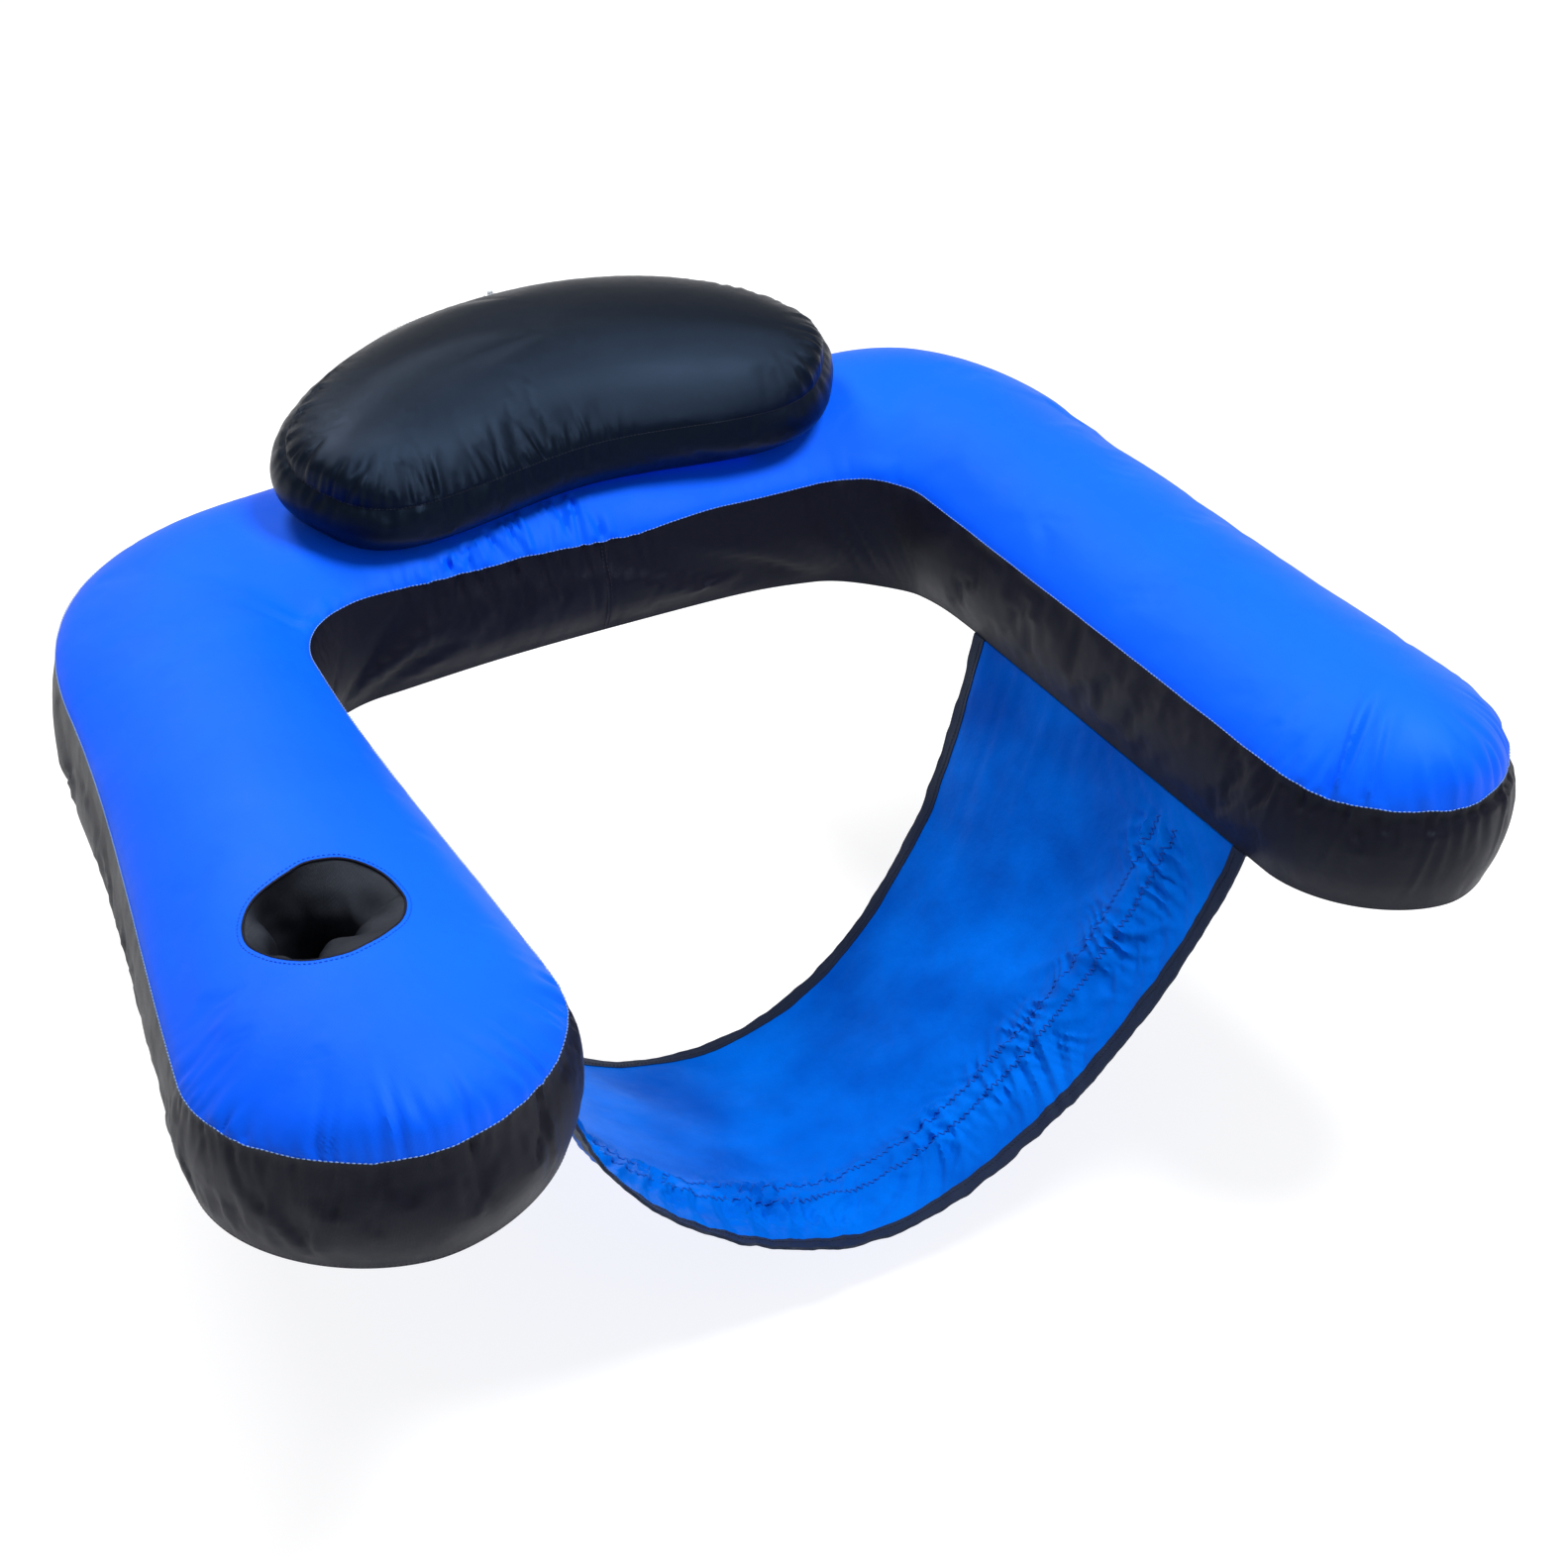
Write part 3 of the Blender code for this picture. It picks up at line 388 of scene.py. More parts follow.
def arm_frame(side, s):
    """Centre, outward normal, half width and crown at distances s from the middle of the back.

    The tip is left out.
    """
    arm, turn, corner = arm_turn(side)
    radius = arm["corner_radius"]
    beyond = np.maximum(s - BACK_HALF_STRAIGHT - corner, 0.0)
    angle = np.clip((s - BACK_HALF_STRAIGHT) / radius, 0.0, turn)
    x = np.minimum(s, BACK_HALF_STRAIGHT) + beyond * math.cos(turn) + radius * np.sin(angle)
    y = -radius * (1 - np.cos(angle)) - beyond * math.sin(turn)
    knots = (BACK_HALF_STRAIGHT, BACK_HALF_STRAIGHT + corner, BACK_HALF_STRAIGHT + corner + arm["length"])
    half_width = blend_knots(s, knots, arm["half_widths"])
    share = np.clip((s - BACK_HALF_STRAIGHT) / corner, 0.0, 1.0)
    fullness = arm["corner_fullness"] * np.sin(math.pi * share) ** 2
    crown_knots = (arm["crown_start"], BACK_HALF_STRAIGHT + corner / 2,
                   BACK_HALF_STRAIGHT + corner + arm["length"] / 2)
    crown = blend_knots(s, crown_knots, arm["crowns"])
    x = x + fullness / 2 * np.sin(angle)
    y = y + fullness / 2 * np.cos(angle)
    return side * x, y, side * np.sin(angle), np.cos(angle), half_width + fullness / 2, crown


def arm_tip(side):
    """Where an arm's rounded tip starts, as a distance from the middle of the back."""
    arm, _, corner = arm_turn(side)
    return BACK_HALF_STRAIGHT + corner + arm["length"] - arm["tip_length"]


def rounded(a, b, exponent):
    """A square's point (a, b) moved into a disc, then onto a superellipse of the same height and width."""
    x = a * np.sqrt(1 - b * b / 2)
    y = b * np.sqrt(1 - a * a / 2)
    plain = np.sqrt(x * x + y * y)
    norm = (np.abs(x) ** exponent + np.abs(y) ** exponent) ** (1 / exponent)
    scale = np.where(plain > 1e-9, plain / np.maximum(norm, 1e-9), 1.0)
    return x * scale, y * scale


def crown_rise(side_crown, tip, u):
    """Height of the crown above the seam; u runs from -1 to 1 between the seams."""
    u = np.clip(np.abs(u), 0.0, 1.0)
    rise = side_crown * tip ** TIP_CROWN_EXPONENT * (1 - u * u) ** CROWN_EXPONENT
    return rise + SKIRT * np.minimum(tip * 6, 1.0) * (1 - u * u) ** 0.35


def body_rows(start):
    """Distances of the rows between the middle of the back and a tip."""
    s = np.linspace(0, start, 2001)
    coarse = between(s, 0.20, start - 0.03, 0.06)
    return respaced(s, FINE_STEP + (COARSE_STEP - FINE_STEP) * coarse)


def tube_top():
    """Points of the top panel: rows from the left tip over the back to the right, columns inner to outer."""
    t = np.linspace(-1, 1, TUBE_GRID[0])
    u = 0.75 * t + 0.25 * np.sin(math.pi / 2 * t)
    halves = []
    for side in (-1, 1):
        start = arm_tip(side)
        tip_length = ARMS[side]["tip_length"]
        body = body_rows(start)
        count = 2 * int(tip_length / FINE_STEP / 2)
        tip = np.linspace(0, 1, count + 1)[1:]
        raw = np.concatenate([np.zeros_like(body), tip])
        base = np.concatenate([body, np.full_like(tip, start)])
        a, b = rounded(u[None, :] + 0 * raw[:, None], raw[:, None] + 0 * u[None, :], TIP_EXPONENT)
        b = np.clip(b, 0.0, 1.0)
        x, y, nx, ny, half, crown = arm_frame(side, base[:, None] + b * tip_length)
        tip_share = np.maximum(1 - b ** TIP_EXPONENT, 0.0) ** (1 / TIP_EXPONENT)
        across = np.where(tip_share > 1e-6, a / np.maximum(tip_share, 1e-6), 1.0)
        across[:, 0] = -1.0
        across[:, -1] = 1.0
        across[-1, :] = 1.0
        z = SEAM_HEIGHT + crown_rise(crown, tip_share, across)
        halves.append(xyz(x + nx * a * half, y + ny * a * half, z))
    return np.concatenate([halves[0][::-1], halves[1][1:]], axis=0)


def border(rows, columns):
    """The border of a grid as (row, column) pairs: first column, last row, last column, first row."""
    pairs = [(k, 0) for k in range(rows)] + [(rows - 1, k) for k in range(1, columns)]
    pairs += [(k, columns - 1) for k in range(rows - 2, -1, -1)]
    pairs += [(0, k) for k in range(columns - 2, 0, -1)]
    return np.array(pairs)


def border_of(grid):
    """The points along a grid's border."""
    edge = border(*grid.shape[:2])
    return grid[edge[:, 0], edge[:, 1]]


def join_border(grid, points):
    """Moves a grid's border onto the given points."""
    edge = border(*grid.shape[:2])
    grid[edge[:, 0], edge[:, 1]] = points


def wall_points(loop, height, bulge, levels):
    """Points of an upright wall under a closed outline: rows along it, columns from bottom to top."""
    along = np.roll(loop, -1, axis=0) - np.roll(loop, 1, axis=0)
    out = unit(xyz(along[:, 1], -along[:, 0]))
    z = np.linspace(0, height, levels + 1)
    place = loop[:, None, :2] + out[:, None, :] * (bulge * np.sin(math.pi * z / height))[None, :, None]
    return np.concatenate([place, np.broadcast_to(z[None, :, None], place.shape[:2] + (1,))], axis=-1)


def loop_distance(loop):
    """Distance along a closed outline at each of its points, and its whole length."""
    steps = np.linalg.norm(np.roll(loop, -1, axis=0) - loop, axis=-1)
    return reach_of(steps[:-1]), steps.sum()


def nearest_on(loop, points):
    """For each point, the number of the nearest outline point, seen from above."""
    tree = KDTree(len(loop))
    for k, place in enumerate(loop):
        tree.insert((place[0], place[1], 0.0), k)
    tree.balance()
    found = [tree.find((place[0], place[1], 0.0))[1] for place in points.reshape(-1, 3)]
    return np.array(found).reshape(points.shape[:-1])


def seam_place(loop, points):
    """For each point, seen from above: the nearest outline point, its place along the outline, its depth."""
    arc, _ = loop_distance(loop)
    number = nearest_on(loop, points)
    at = arc[number]
    depth = np.full(number.shape, np.inf)
    for step in (-1, 0):
        first = (number + step) % len(loop)
        start = loop[first, :2]
        side = loop[(first + 1) % len(loop), :2] - start
        size = (side ** 2).sum(axis=-1)
        share = np.clip(((points[..., :2] - start) * side).sum(axis=-1) / size, 0.0, 1.0)
        gap = np.linalg.norm(points[..., :2] - start - side * share[..., None], axis=-1)
        at = np.where(gap < depth, arc[first] + share * np.sqrt(size), at)
        depth = np.minimum(depth, gap)
    return number, at, depth


def puckers(arc, depth, total, gather, seed, pitch, width, length, height, valleys=0.62):
    """Small folds that start at a seam and fade away from it.

    arc is each point's place along the seam and depth its distance from it; gather holds places along the
    seam, and how strongly it is gathered at each; valleys is the share of folds that go inward.
    """
    rng = np.random.RandomState(seed)
    result = np.zeros_like(depth)
    for place in np.arange(0, total, pitch):
        at = place + rng.uniform(-0.45, 0.45) * pitch
        strength = np.interp(at % total, gather[0], gather[1], period=total) * rng.uniform(0.35, 1.0)
        slant = rng.uniform(-0.35, 0.35)
        wide = rng.uniform(*width)
        far = rng.uniform(*length) * (0.5 + 0.5 * strength)
        sign = -1.0 if rng.uniform() < valleys else 0.7
        if strength < 0.04:
            continue
        away = np.abs((arc - at - slant * depth + total / 2) % total - total / 2)
        near = (away < wide * 4) & (depth < far * 3)
        spread = wide * (1 + 0.8 * depth[near] / far)
        profile = hill(away[near], spread) - 0.35 * np.exp(-(away[near] / spread / 2) ** 2)
        fade = hill(depth[near], far) * smooth(depth[near] / 0.003 + 0.25)
        result[near] += sign * strength * height * profile * fade
    return result


def fold_sets(arc, total, sets):
    """Several sets of puckers at once; each holds its depth and then what puckers takes from gather on."""
    return sum(puckers(arc, depth, total, *rest) for depth, *rest in sets)


# ---- materials
class Nodes:
    """A short way to build a node tree."""

    def __init__(self, name):
        self.material = bpy.data.materials.new(name)
        self.material.use_nodes = True
        self.tree = self.material.node_tree
        self.shader = self.tree.nodes["Principled BSDF"]
        self.coordinates = self.tree.nodes.new("ShaderNodeTexCoord")

    def add(self, kind, inputs=(), **settings):
        node = self.tree.nodes.new("ShaderNode" + kind)
        for key, value in settings.items():
            setattr(node, key, value)
        for key, value in dict(inputs).items():
            self.put(node.inputs[key], value)
        return node

    def put(self, socket, value):
        if isinstance(value, bpy.types.NodeSocket):
            self.tree.links.new(value, socket)
        elif hasattr(value, "__len__") and len(value) == 3 and socket.type == "RGBA":
            socket.default_value = (*value, 1.0)
        else:
            socket.default_value = value

    def shade(self, inputs):
        """Sets or links inputs of the surface shader."""
        for key, value in inputs.items():
            self.put(self.shader.inputs[key], value)

    def math(self, operation, a, b=0.0):
        return self.add("Math", {0: a, 1: b}, operation=operation).outputs[0]

    def noise(self, scale, detail=3.0, rough=0.5, vector=None, stretch=None):
        vector = vector or self.coordinates.outputs["Object"]
        if stretch:
            vector = self.add("Mapping", {"Vector": vector, "Scale": stretch}).outputs[0]
        return self.add("TexNoise", {"Vector": vector, "Scale": scale, "Detail": detail,
                                     "Roughness": rough}).outputs["Fac"]

    def ramp(self, value, low, high, to_low=0.0, to_high=1.0):
        return self.add("MapRange", {"Value": value, "From Min": low, "From Max": high,
                                     "To Min": to_low, "To Max": to_high}).outputs[0]

    def mix(self, share, a, b):
        node = self.add("Mix", data_type="RGBA")
        self.put(node.inputs["Factor"], share)
        self.put(node.inputs[6], a)
        self.put(node.inputs[7], b)
        return node.outputs[2]

    def bump(self, height, distance, after=None):
        node = self.add("Bump", {"Height": height, "Distance": distance, "Strength": 1.0})
        if after is not None:
            self.put(node.inputs["Normal"], after)
        return node.outputs[0]

    def weave(self, pitch):
        """Crossing threads over the UV map, whose unit is a metre."""
        uv = self.coordinates.outputs["UV"]
        wobble = self.math("MULTIPLY", self.noise(90.0, 2.0, 0.5), pitch * 0.8)
        off = self.add("CombineXYZ", {"X": wobble, "Y": wobble}).outputs[0]
        vector = self.add("VectorMath", {0: uv, 1: off}, operation="ADD").outputs[0]
        warp, weft = (self.add("TexWave", {"Vector": vector, "Scale": math.pi / 10 / pitch},
                               bands_direction=axis).outputs["Fac"] for axis in "XY")
        return self.math("MAXIMUM", warp, weft)


def cloth_material(name, colour, deep, rough=(0.42, 0.52), sheen=0.15, pitch=0.0008, weave=0.5, crease=0.3,
                   mottle=6.0, specular=0.5, grain=(1.0, 1.0, 1.0), tint=(1.0, 1.0, 1.0), patch=0.55):
    """Woven nylon: threads, slubs, soft mottling, fine creases and a little sheen."""
    n = Nodes(name)
    threads = n.weave(pitch)
    patches = n.ramp(n.noise(mottle, 4.0, 0.55), 0.35, 0.68)
    slubs = n.ramp(n.noise(700.0, 2.0, 0.5, stretch=grain), 0.35, 0.65)
    body = n.mix(n.math("MULTIPLY", patches, patch), colour, deep)
    body = n.mix(n.math("MULTIPLY", slubs, 0.16), body, deep)
    shade = n.math("MULTIPLY", n.math("SUBTRACT", 1.0, threads), 0.30 * weave)
    body = n.mix(shade, body, tuple(c * 0.55 for c in deep))
    smudge = n.noise(18.0, 3.0, 0.6)
    broad = n.bump(n.noise(11.0, 3.0, 0.5), 0.004 * crease)
    fine = n.bump(n.noise(38.0, 4.0, 0.6), 0.0012 * crease, after=broad)
    n.shade({"Base Color": body, "Roughness": n.ramp(smudge, 0.3, 0.7, *rough), "Sheen Weight": sheen,
             "Sheen Roughness": 0.35, "Sheen Tint": tint, "Specular Tint": tint,
             "Specular IOR Level": specular, "Normal": n.bump(threads, 0.00012 * weave, after=fine)})
    return n.material


def thread_material(name, colour, dark):
    n = Nodes(name)
    twist = n.add("TexWave", {"Vector": n.coordinates.outputs["Object"], "Scale": 420.0, "Distortion": 1.5},
                  bands_direction="DIAGONAL").outputs["Fac"]
    n.shade({"Base Color": n.mix(twist, colour, dark), "Normal": n.bump(twist, 0.0001),
             "Roughness": n.ramp(n.noise(200.0), 0.3, 0.7, 0.5, 0.7), "Specular IOR Level": 0.15})
    return n.material


def plastic_material(name, colour, deep, rough=(0.3, 0.42), transmission=0.0):
    n = Nodes(name)
    cloud = n.noise(120.0, 3.0, 0.55)
    n.shade({"Base Color": n.mix(n.ramp(cloud, 0.35, 0.7), colour, deep),
             "Roughness": n.ramp(n.noise(260.0, 4.0, 0.6), 0.3, 0.7, *rough),
             "Transmission Weight": transmission, "Normal": n.bump(n.noise(900.0, 2.0, 0.5), 0.00005)})
    return n.material


def metal_material(name):
    n = Nodes(name)
    wear = n.noise(420.0, 4.0, 0.6)
    brushed = n.noise(1500.0, 2.0, 0.5, stretch=(1.0, 1.0, 6.0))
    n.shade({"Base Color": n.mix(n.ramp(wear, 0.4, 0.7), (0.62, 0.62, 0.64), (0.36, 0.36, 0.38)),
             "Metallic": 1.0, "Roughness": n.ramp(wear, 0.3, 0.7, 0.22, 0.42),
             "Normal": n.bump(brushed, 0.00003)})
    return n.material


BLUE = cloth_material("blue_nylon_cloth", (0.0004, 0.112, 0.93), (0.0002, 0.082, 0.86), rough=(0.46, 0.56),
                      sheen=0.0, mottle=5.0, crease=0.25, specular=0.22, tint=(0.30, 0.62, 1.0))
NAVY = cloth_material("navy_nylon_cloth", (0.0054, 0.0054, 0.0108), (0.0036, 0.0036, 0.0072),
                      rough=(0.38, 0.50), sheen=0.01, weave=0.9, mottle=9.0, crease=0.45, specular=0.18,
                      tint=(0.66, 0.74, 1.0))
SATIN = cloth_material("black_satin_cloth", (0.0014, 0.0030, 0.0068), (0.0009, 0.0020, 0.0046),
                       rough=(0.29, 0.36), sheen=0.0, pitch=0.0006, weave=0.5, mottle=7.0, crease=0.35,
                       grain=(1.0, 0.12, 1.0), tint=(0.36, 0.58, 1.0), specular=0.23)
POCKET = cloth_material("black_pocket_cloth", (0.0140, 0.0160, 0.0220), (0.0085, 0.0098, 0.0142),
                        rough=(0.42, 0.54), sheen=0.0, weave=0.8, mottle=14.0, crease=0.5, specular=0.34,
                        tint=(0.70, 0.80, 1.0))
# The seat's deep colour is its tone where it lies in shade. Its strong random patches (patch 0.95) are partly
# random tone and partly painted shade.
SEAT_BLUE = cloth_material("seat_nylon_cloth", (0.0001, 0.135, 0.68), (0.0001, 0.062, 0.40),
                           rough=(0.34, 0.44), sheen=0.16, weave=0.4, mottle=9.0, crease=1.2, specular=0.02,
                           tint=(0.03, 0.46, 1.0), patch=0.95)
BINDING = cloth_material("navy_binding_tape", (0.0085, 0.0140, 0.0380), (0.0050, 0.0085, 0.0230),
                         rough=(0.50, 0.62), sheen=0.04, pitch=0.0014, weave=1.4, mottle=20.0, crease=0.5,
                         specular=0.25, tint=(0.5, 0.7, 1.0))
ELASTIC = cloth_material("woven_elastic", (0.0200, 0.0210, 0.0300), (0.0110, 0.0120, 0.0180),
                         rough=(0.62, 0.74), sheen=0.15, pitch=0.0016, weave=1.6, crease=0.4)
TAPE = cloth_material("zipper_tape_cloth", (0.0130, 0.0130, 0.0190), (0.0080, 0.0080, 0.0120),
                      rough=(0.60, 0.72), sheen=0.10, pitch=0.0010, weave=1.5, crease=0.2)
PALE_THREAD = thread_material("pale_seam_thread", (0.26, 0.42, 0.72), (0.12, 0.22, 0.44))
NAVY_THREAD = thread_material("navy_seam_thread", (0.030, 0.034, 0.050), (0.014, 0.016, 0.026))
BLUE_THREAD = thread_material("blue_seam_thread", (0.004, 0.110, 0.60), (0.001, 0.035, 0.26))
VINYL = plastic_material("milky_vinyl", (0.55, 0.60, 0.65), (0.46, 0.51, 0.57))
CLEAR = plastic_material("clear_vinyl", (0.72, 0.76, 0.80), (0.60, 0.66, 0.72), (0.14, 0.26), 0.45)
BLACK_PLASTIC = plastic_material("black_moulded_plastic", (0.016, 0.016, 0.019), (0.010, 0.010, 0.012))
METAL = metal_material("zipper_metal")


# ---- simulation
def cloth_shift(name, points, faces, pins, gathered, cap, pressure=0.0, gravity=0.0, frames=18,
                stiffness=30.0, bending=0.4, shrink=(0.0, 0.0), mass=0.12):
    """How far each point of a cloth moves when it is simulated, at most cap."""
    points = np.asarray(points).reshape(-1, 3)
    piece = mesh_object(name, points, faces)
    for group, members in (("pins", pins), ("gathered", gathered)):
        target = piece.vertex_groups.new(name=group)
        for number, weight in members:
            target.add([int(number)], float(weight), "REPLACE")
    cloth = piece.modifiers.new("cloth", "CLOTH")
    for key, value in dict(
            quality=5, mass=mass, tension_stiffness=stiffness, compression_stiffness=stiffness,
            shear_stiffness=stiffness / 3, bending_stiffness=bending, use_pressure=pressure > 0,
            uniform_pressure_force=pressure, vertex_group_mass="pins", vertex_group_shrink="gathered",
            shrink_min=shrink[0], shrink_max=shrink[1]).items():
        setattr(cloth.settings, key, value)
    cloth.settings.effector_weights.gravity = gravity
    cloth.collision_settings.use_collision = False
    cloth.point_cache.frame_end = frames
    for number in range(1, frames + 1):
        bpy.context.scene.frame_set(number)
    graph = bpy.context.evaluated_depsgraph_get()
    result = np.empty(len(points) * 3)
    piece.evaluated_get(graph).data.vertices.foreach_get("co", result)
    bpy.data.objects.remove(piece, do_unlink=True)
    bpy.context.scene.frame_set(1)
    shift = result.reshape(-1, 3) - points
    size = np.linalg.norm(shift, axis=1)
    return shift * (np.minimum(size, cap) / np.maximum(size, 1e-9))[:, None]


def sewn_body(top, wall):
    """One cloth from a top panel and the wall sewn round it: points, faces, each grid's vertex numbers."""
    rows, columns = top.shape[:2]
    ids_top = np.arange(rows * columns).reshape(rows, columns)
    edge = border(rows, columns)
    count, levels = len(wall), wall.shape[1] - 1
    ids_wall = np.empty((count, levels + 1), dtype=int)
    ids_wall[:, -1] = ids_top[edge[:, 0], edge[:, 1]]
    ids_wall[:, :-1] = rows * columns + np.arange(count * levels).reshape(count, levels)
    points = np.concatenate([top.reshape(-1, 3), wall[:, :-1].reshape(-1, 3)])
    faces = np.concatenate([grid_faces(ids_top), grid_faces(ids_wall, True)])
    return points, faces, ids_top, ids_wall


def swelling(name, top, wall, gathers, cap, shrink, top_part, wall_part, calm=None):
    """How a top panel and its wall move under pressure while the seam between them draws in.

    gathers tells how strongly each point of the seam draws in. top_part and wall_part hold the passes that
    find the broad movement, the share of it that stays, and the share of the rest that stays.
    """
    points, faces, ids_top, ids_wall = sewn_body(top[::SIM_STEP, ::SIM_STEP], wall[::SIM_STEP, ::SIM_STEP])
    pins = [(k, 1.0) for k in ids_wall[:, 0]]
    gathered = list(zip(ids_wall[:, -1], gathers[::SIM_STEP]))
    shift = cloth_shift(name, points, faces, pins, gathered, cap, pressure=PRESSURE, shrink=shrink)
    grids = local_part(shift[ids_top], *top_part[:2]), local_part(shift[ids_wall], *wall_part[:2], True)
    shift[ids_wall] = grids[1] * wall_part[2]
    shift[ids_top] = grids[0] * top_part[2]
    if calm:
        shift *= calm(points)[:, None]
    return (upsample(shift[ids_top], *top.shape[:2]),
            upsample(shift[ids_wall], *wall.shape[:2], True))


# ---- stitches
def stitches(name, path, out, material=NAVY_THREAD, body="float", pitch=0.0033, length=0.0024,
             radius=0.00032, closed=True):
    """A row of stitches along a path; out is the direction that lifts each off the cloth."""
    path = np.asarray(path)
    out = np.asarray(out)
    if closed:
        path = np.concatenate([path, path[:1]])
        out = np.concatenate([out, out[:1]])
    reach = reach_of(np.linalg.norm(np.diff(path, axis=0), axis=1))
    count = int(reach[-1] / pitch)
    starts = (np.arange(count) + 0.5) * reach[-1] / count

    def at(distance, values):
        return xyz(*(np.interp(distance, reach, values[:, k]) for k in range(3)))

    head = at(starts + length / 2, path)
    tail = at(starts - length / 2, path)
    up = unit(at(starts, out))
    side = np.cross(unit(head - tail), up)
    # Four rings of six points make one stitch: its share of the way, its size and its lift.
    rings = []
    for share, size, lift in ((0.0, 0.35, -0.6), (0.22, 1.0, 0.5), (0.78, 1.0, 0.5), (1.0, 0.35, -0.6)):
        centre = tail + (head - tail) * share + up * radius * lift
        for angle in np.arange(6) * math.tau / 6:
            rings.append(centre + (side * math.cos(angle) + up * math.sin(angle)) * radius * size)
    faces = []
    for start in range(0, count * 24, 24):
        for k in range(18):
            after = k - k % 6 + (k + 1) % 6
            faces.append([start + k, start + after, start + after + 6, start + k + 6])
    for start in range(0, count * 24, 24):
        faces.append([start + k for k in range(5, -1, -1)])
        faces.append([start + 18 + k for k in range(6)])
    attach(mesh_object(name, np.stack(rings, axis=1), faces, material), body)


def cord_mesh(name, path, radius, material, sides=8, closed=False, ups=None):
    """A round cord along a path of points, which rides on the float."""
    path = np.asarray(path)
    if closed:
        along = np.roll(path, -1, axis=0) - np.roll(path, 1, axis=0)
    else:
        along = np.gradient(path, axis=0)
    along = unit(along)
    side = unit(np.cross(along, [0.0, 0.0, 1.0] if ups is None else ups))
    up = np.cross(side, along)
    ring = []
    for angle in np.arange(sides) * math.tau / sides:
        ring.append(path + (side * math.cos(angle) + up * math.sin(angle)) * radius)
    ring.append(ring[0])

    def close(bm):
        weld(bm, 1e-7)
        if not closed:
            bmesh.ops.holes_fill(bm, edges=[e for e in bm.edges if e.is_boundary], sides=0)
        outward(bm)

    piece = grid_piece(name, np.stack(ring, axis=1), material, closed, flip=True)
    change_mesh(piece, close)
    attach(piece, "float")
    return piece


# ---- the tube's cover
def on_front_seam(y):
    return (y > FRONT_SEAM[0]) & (y < FRONT_SEAM[1])


def gather_at(place):
    """How strongly the tube's top seam is gathered near each place."""
    x, y = place[..., 0], place[..., 1]
    tips = np.where(x < 0, smooth((-0.52 - y) / 0.10), 0.9 * smooth((-0.54 - y) / 0.10))
    front = between(x, -0.20, 0.05, 0.05) * on_front_seam(y)
    corners = []
    for (corner_x, corner_y), wide, amount in ((INNER_LEFT, 0.04, 0.45), (INNER_RIGHT, 0.05, 0.35)):
        corners.append(amount * np.exp(-((x - corner_x) ** 2 + (y - corner_y) ** 2) / wide ** 2))
    return np.maximum(np.maximum.reduce([tips, front, *corners]), LEAST_GATHER)


def calm_at(points):
    """1 where the cover may swell freely, 0 where another piece has to meet it."""
    x, y, z = points[..., 0], points[..., 1], points[..., 2]
    cup = smooth((np.hypot(x - CUP_CENTRE[0], y - CUP_CENTRE[1]) - CUP_CALM) / 0.035)
    pillow = 1 - smooth((0.235 - np.abs(x)) / 0.03) * smooth((y + 0.070) / 0.02)
    rear = 1 - smooth((0.215 - np.abs(x)) / 0.02) * smooth((y - 0.07) / 0.015)
    foot = smooth(z / 0.03)
    return cup * pillow * rear * foot


def hollow_at(points):
    """Soft hollows of the top panel, where it is pinched at the inner corners."""
    x, y = points[..., 0], points[..., 1]
    total = 0.0
    for corner, sign, wide, deep in ((INNER_LEFT, -1, 0.020, 0.0075), (INNER_RIGHT, 1, 0.024, 0.0045)):
        right, ahead = sign * (x - corner[0]), y - corner[1]
        along, off = (ahead + right) / math.sqrt(2), (ahead - right) / math.sqrt(2)
        total = total + deep * hill(off, wide) * smooth((along + 0.01) / 0.03) * hill(along, 0.09)
    beside = 0.0050 * np.exp(-((x + 0.262) / 0.030) ** 2 - ((y + 0.020) / 0.050) ** 2)
    return -(total + beside)


def crease(points, start, end, wide, height):
    """One ridge from start towards end, seen from above, that fades and widens along its way."""
    start, way = np.array(start), np.array(end) - np.array(start)
    length = np.linalg.norm(way)
    way /= length
    off = points[..., :2] - start
    along = (off @ way) / length
    across = off[..., 0] * way[1] - off[..., 1] * way[0]
    spread = wide * (0.7 + 0.6 * np.clip(along, 0, 1))
    ridge = hill(across, spread) - 0.5 * hill(across - 2.2 * spread, spread)
    return height * ridge * smooth((along + 0.06) / 0.12) * smooth((1.1 - along) / 0.7)


def pillow_tugs(points):
    """Thin ridges where the pillow's sewn edge tugs the cover in front of it."""
    x, y = points[..., 0], points[..., 1]
    edge = PILLOW_FRONT_Y - PILLOW_FRONT_BOW * (x / PILLOW_HALF_LENGTH) ** 2
    places = np.linspace(0, 0.5, 200)
    amounts = between(places, 0.100, 0.262, 0.020, 0.030)
    tugs = puckers(x + 0.25, np.maximum(edge - y, 0.0), 0.5, (places, amounts), 17, 0.0105, (0.0019, 0.0027),
                   (0.026, 0.042), 0.0088, valleys=0.25)
    return tugs * (y < edge) * (y > FRONT_SEAM[0])


def seam_dip(loop):
    """Where the inner top seam sinks and rises beside the gusset's joint."""
    x, y = loop[:, 0], loop[:, 1]
    front = on_front_seam(y) & (np.abs(x) < 0.2)
    return front * (0.0016 * hill(x - 0.100, 0.03) - 0.0048 * hill(x - 0.018, 0.04))


def droop_at(points):
    """How far the lower edge of the wall hangs below the flat underside at the inner corners."""
    x, y = points[..., 0], points[..., 1]
    right = 0.015 * np.exp(-((x - 0.245) / 0.075) ** 2 - ((y + 0.115) / 0.055) ** 2)
    left = 0.009 * np.exp(-((x + 0.235) / 0.110) ** 2 - ((y + 0.100) / 0.045) ** 2)
    return -(left + right)


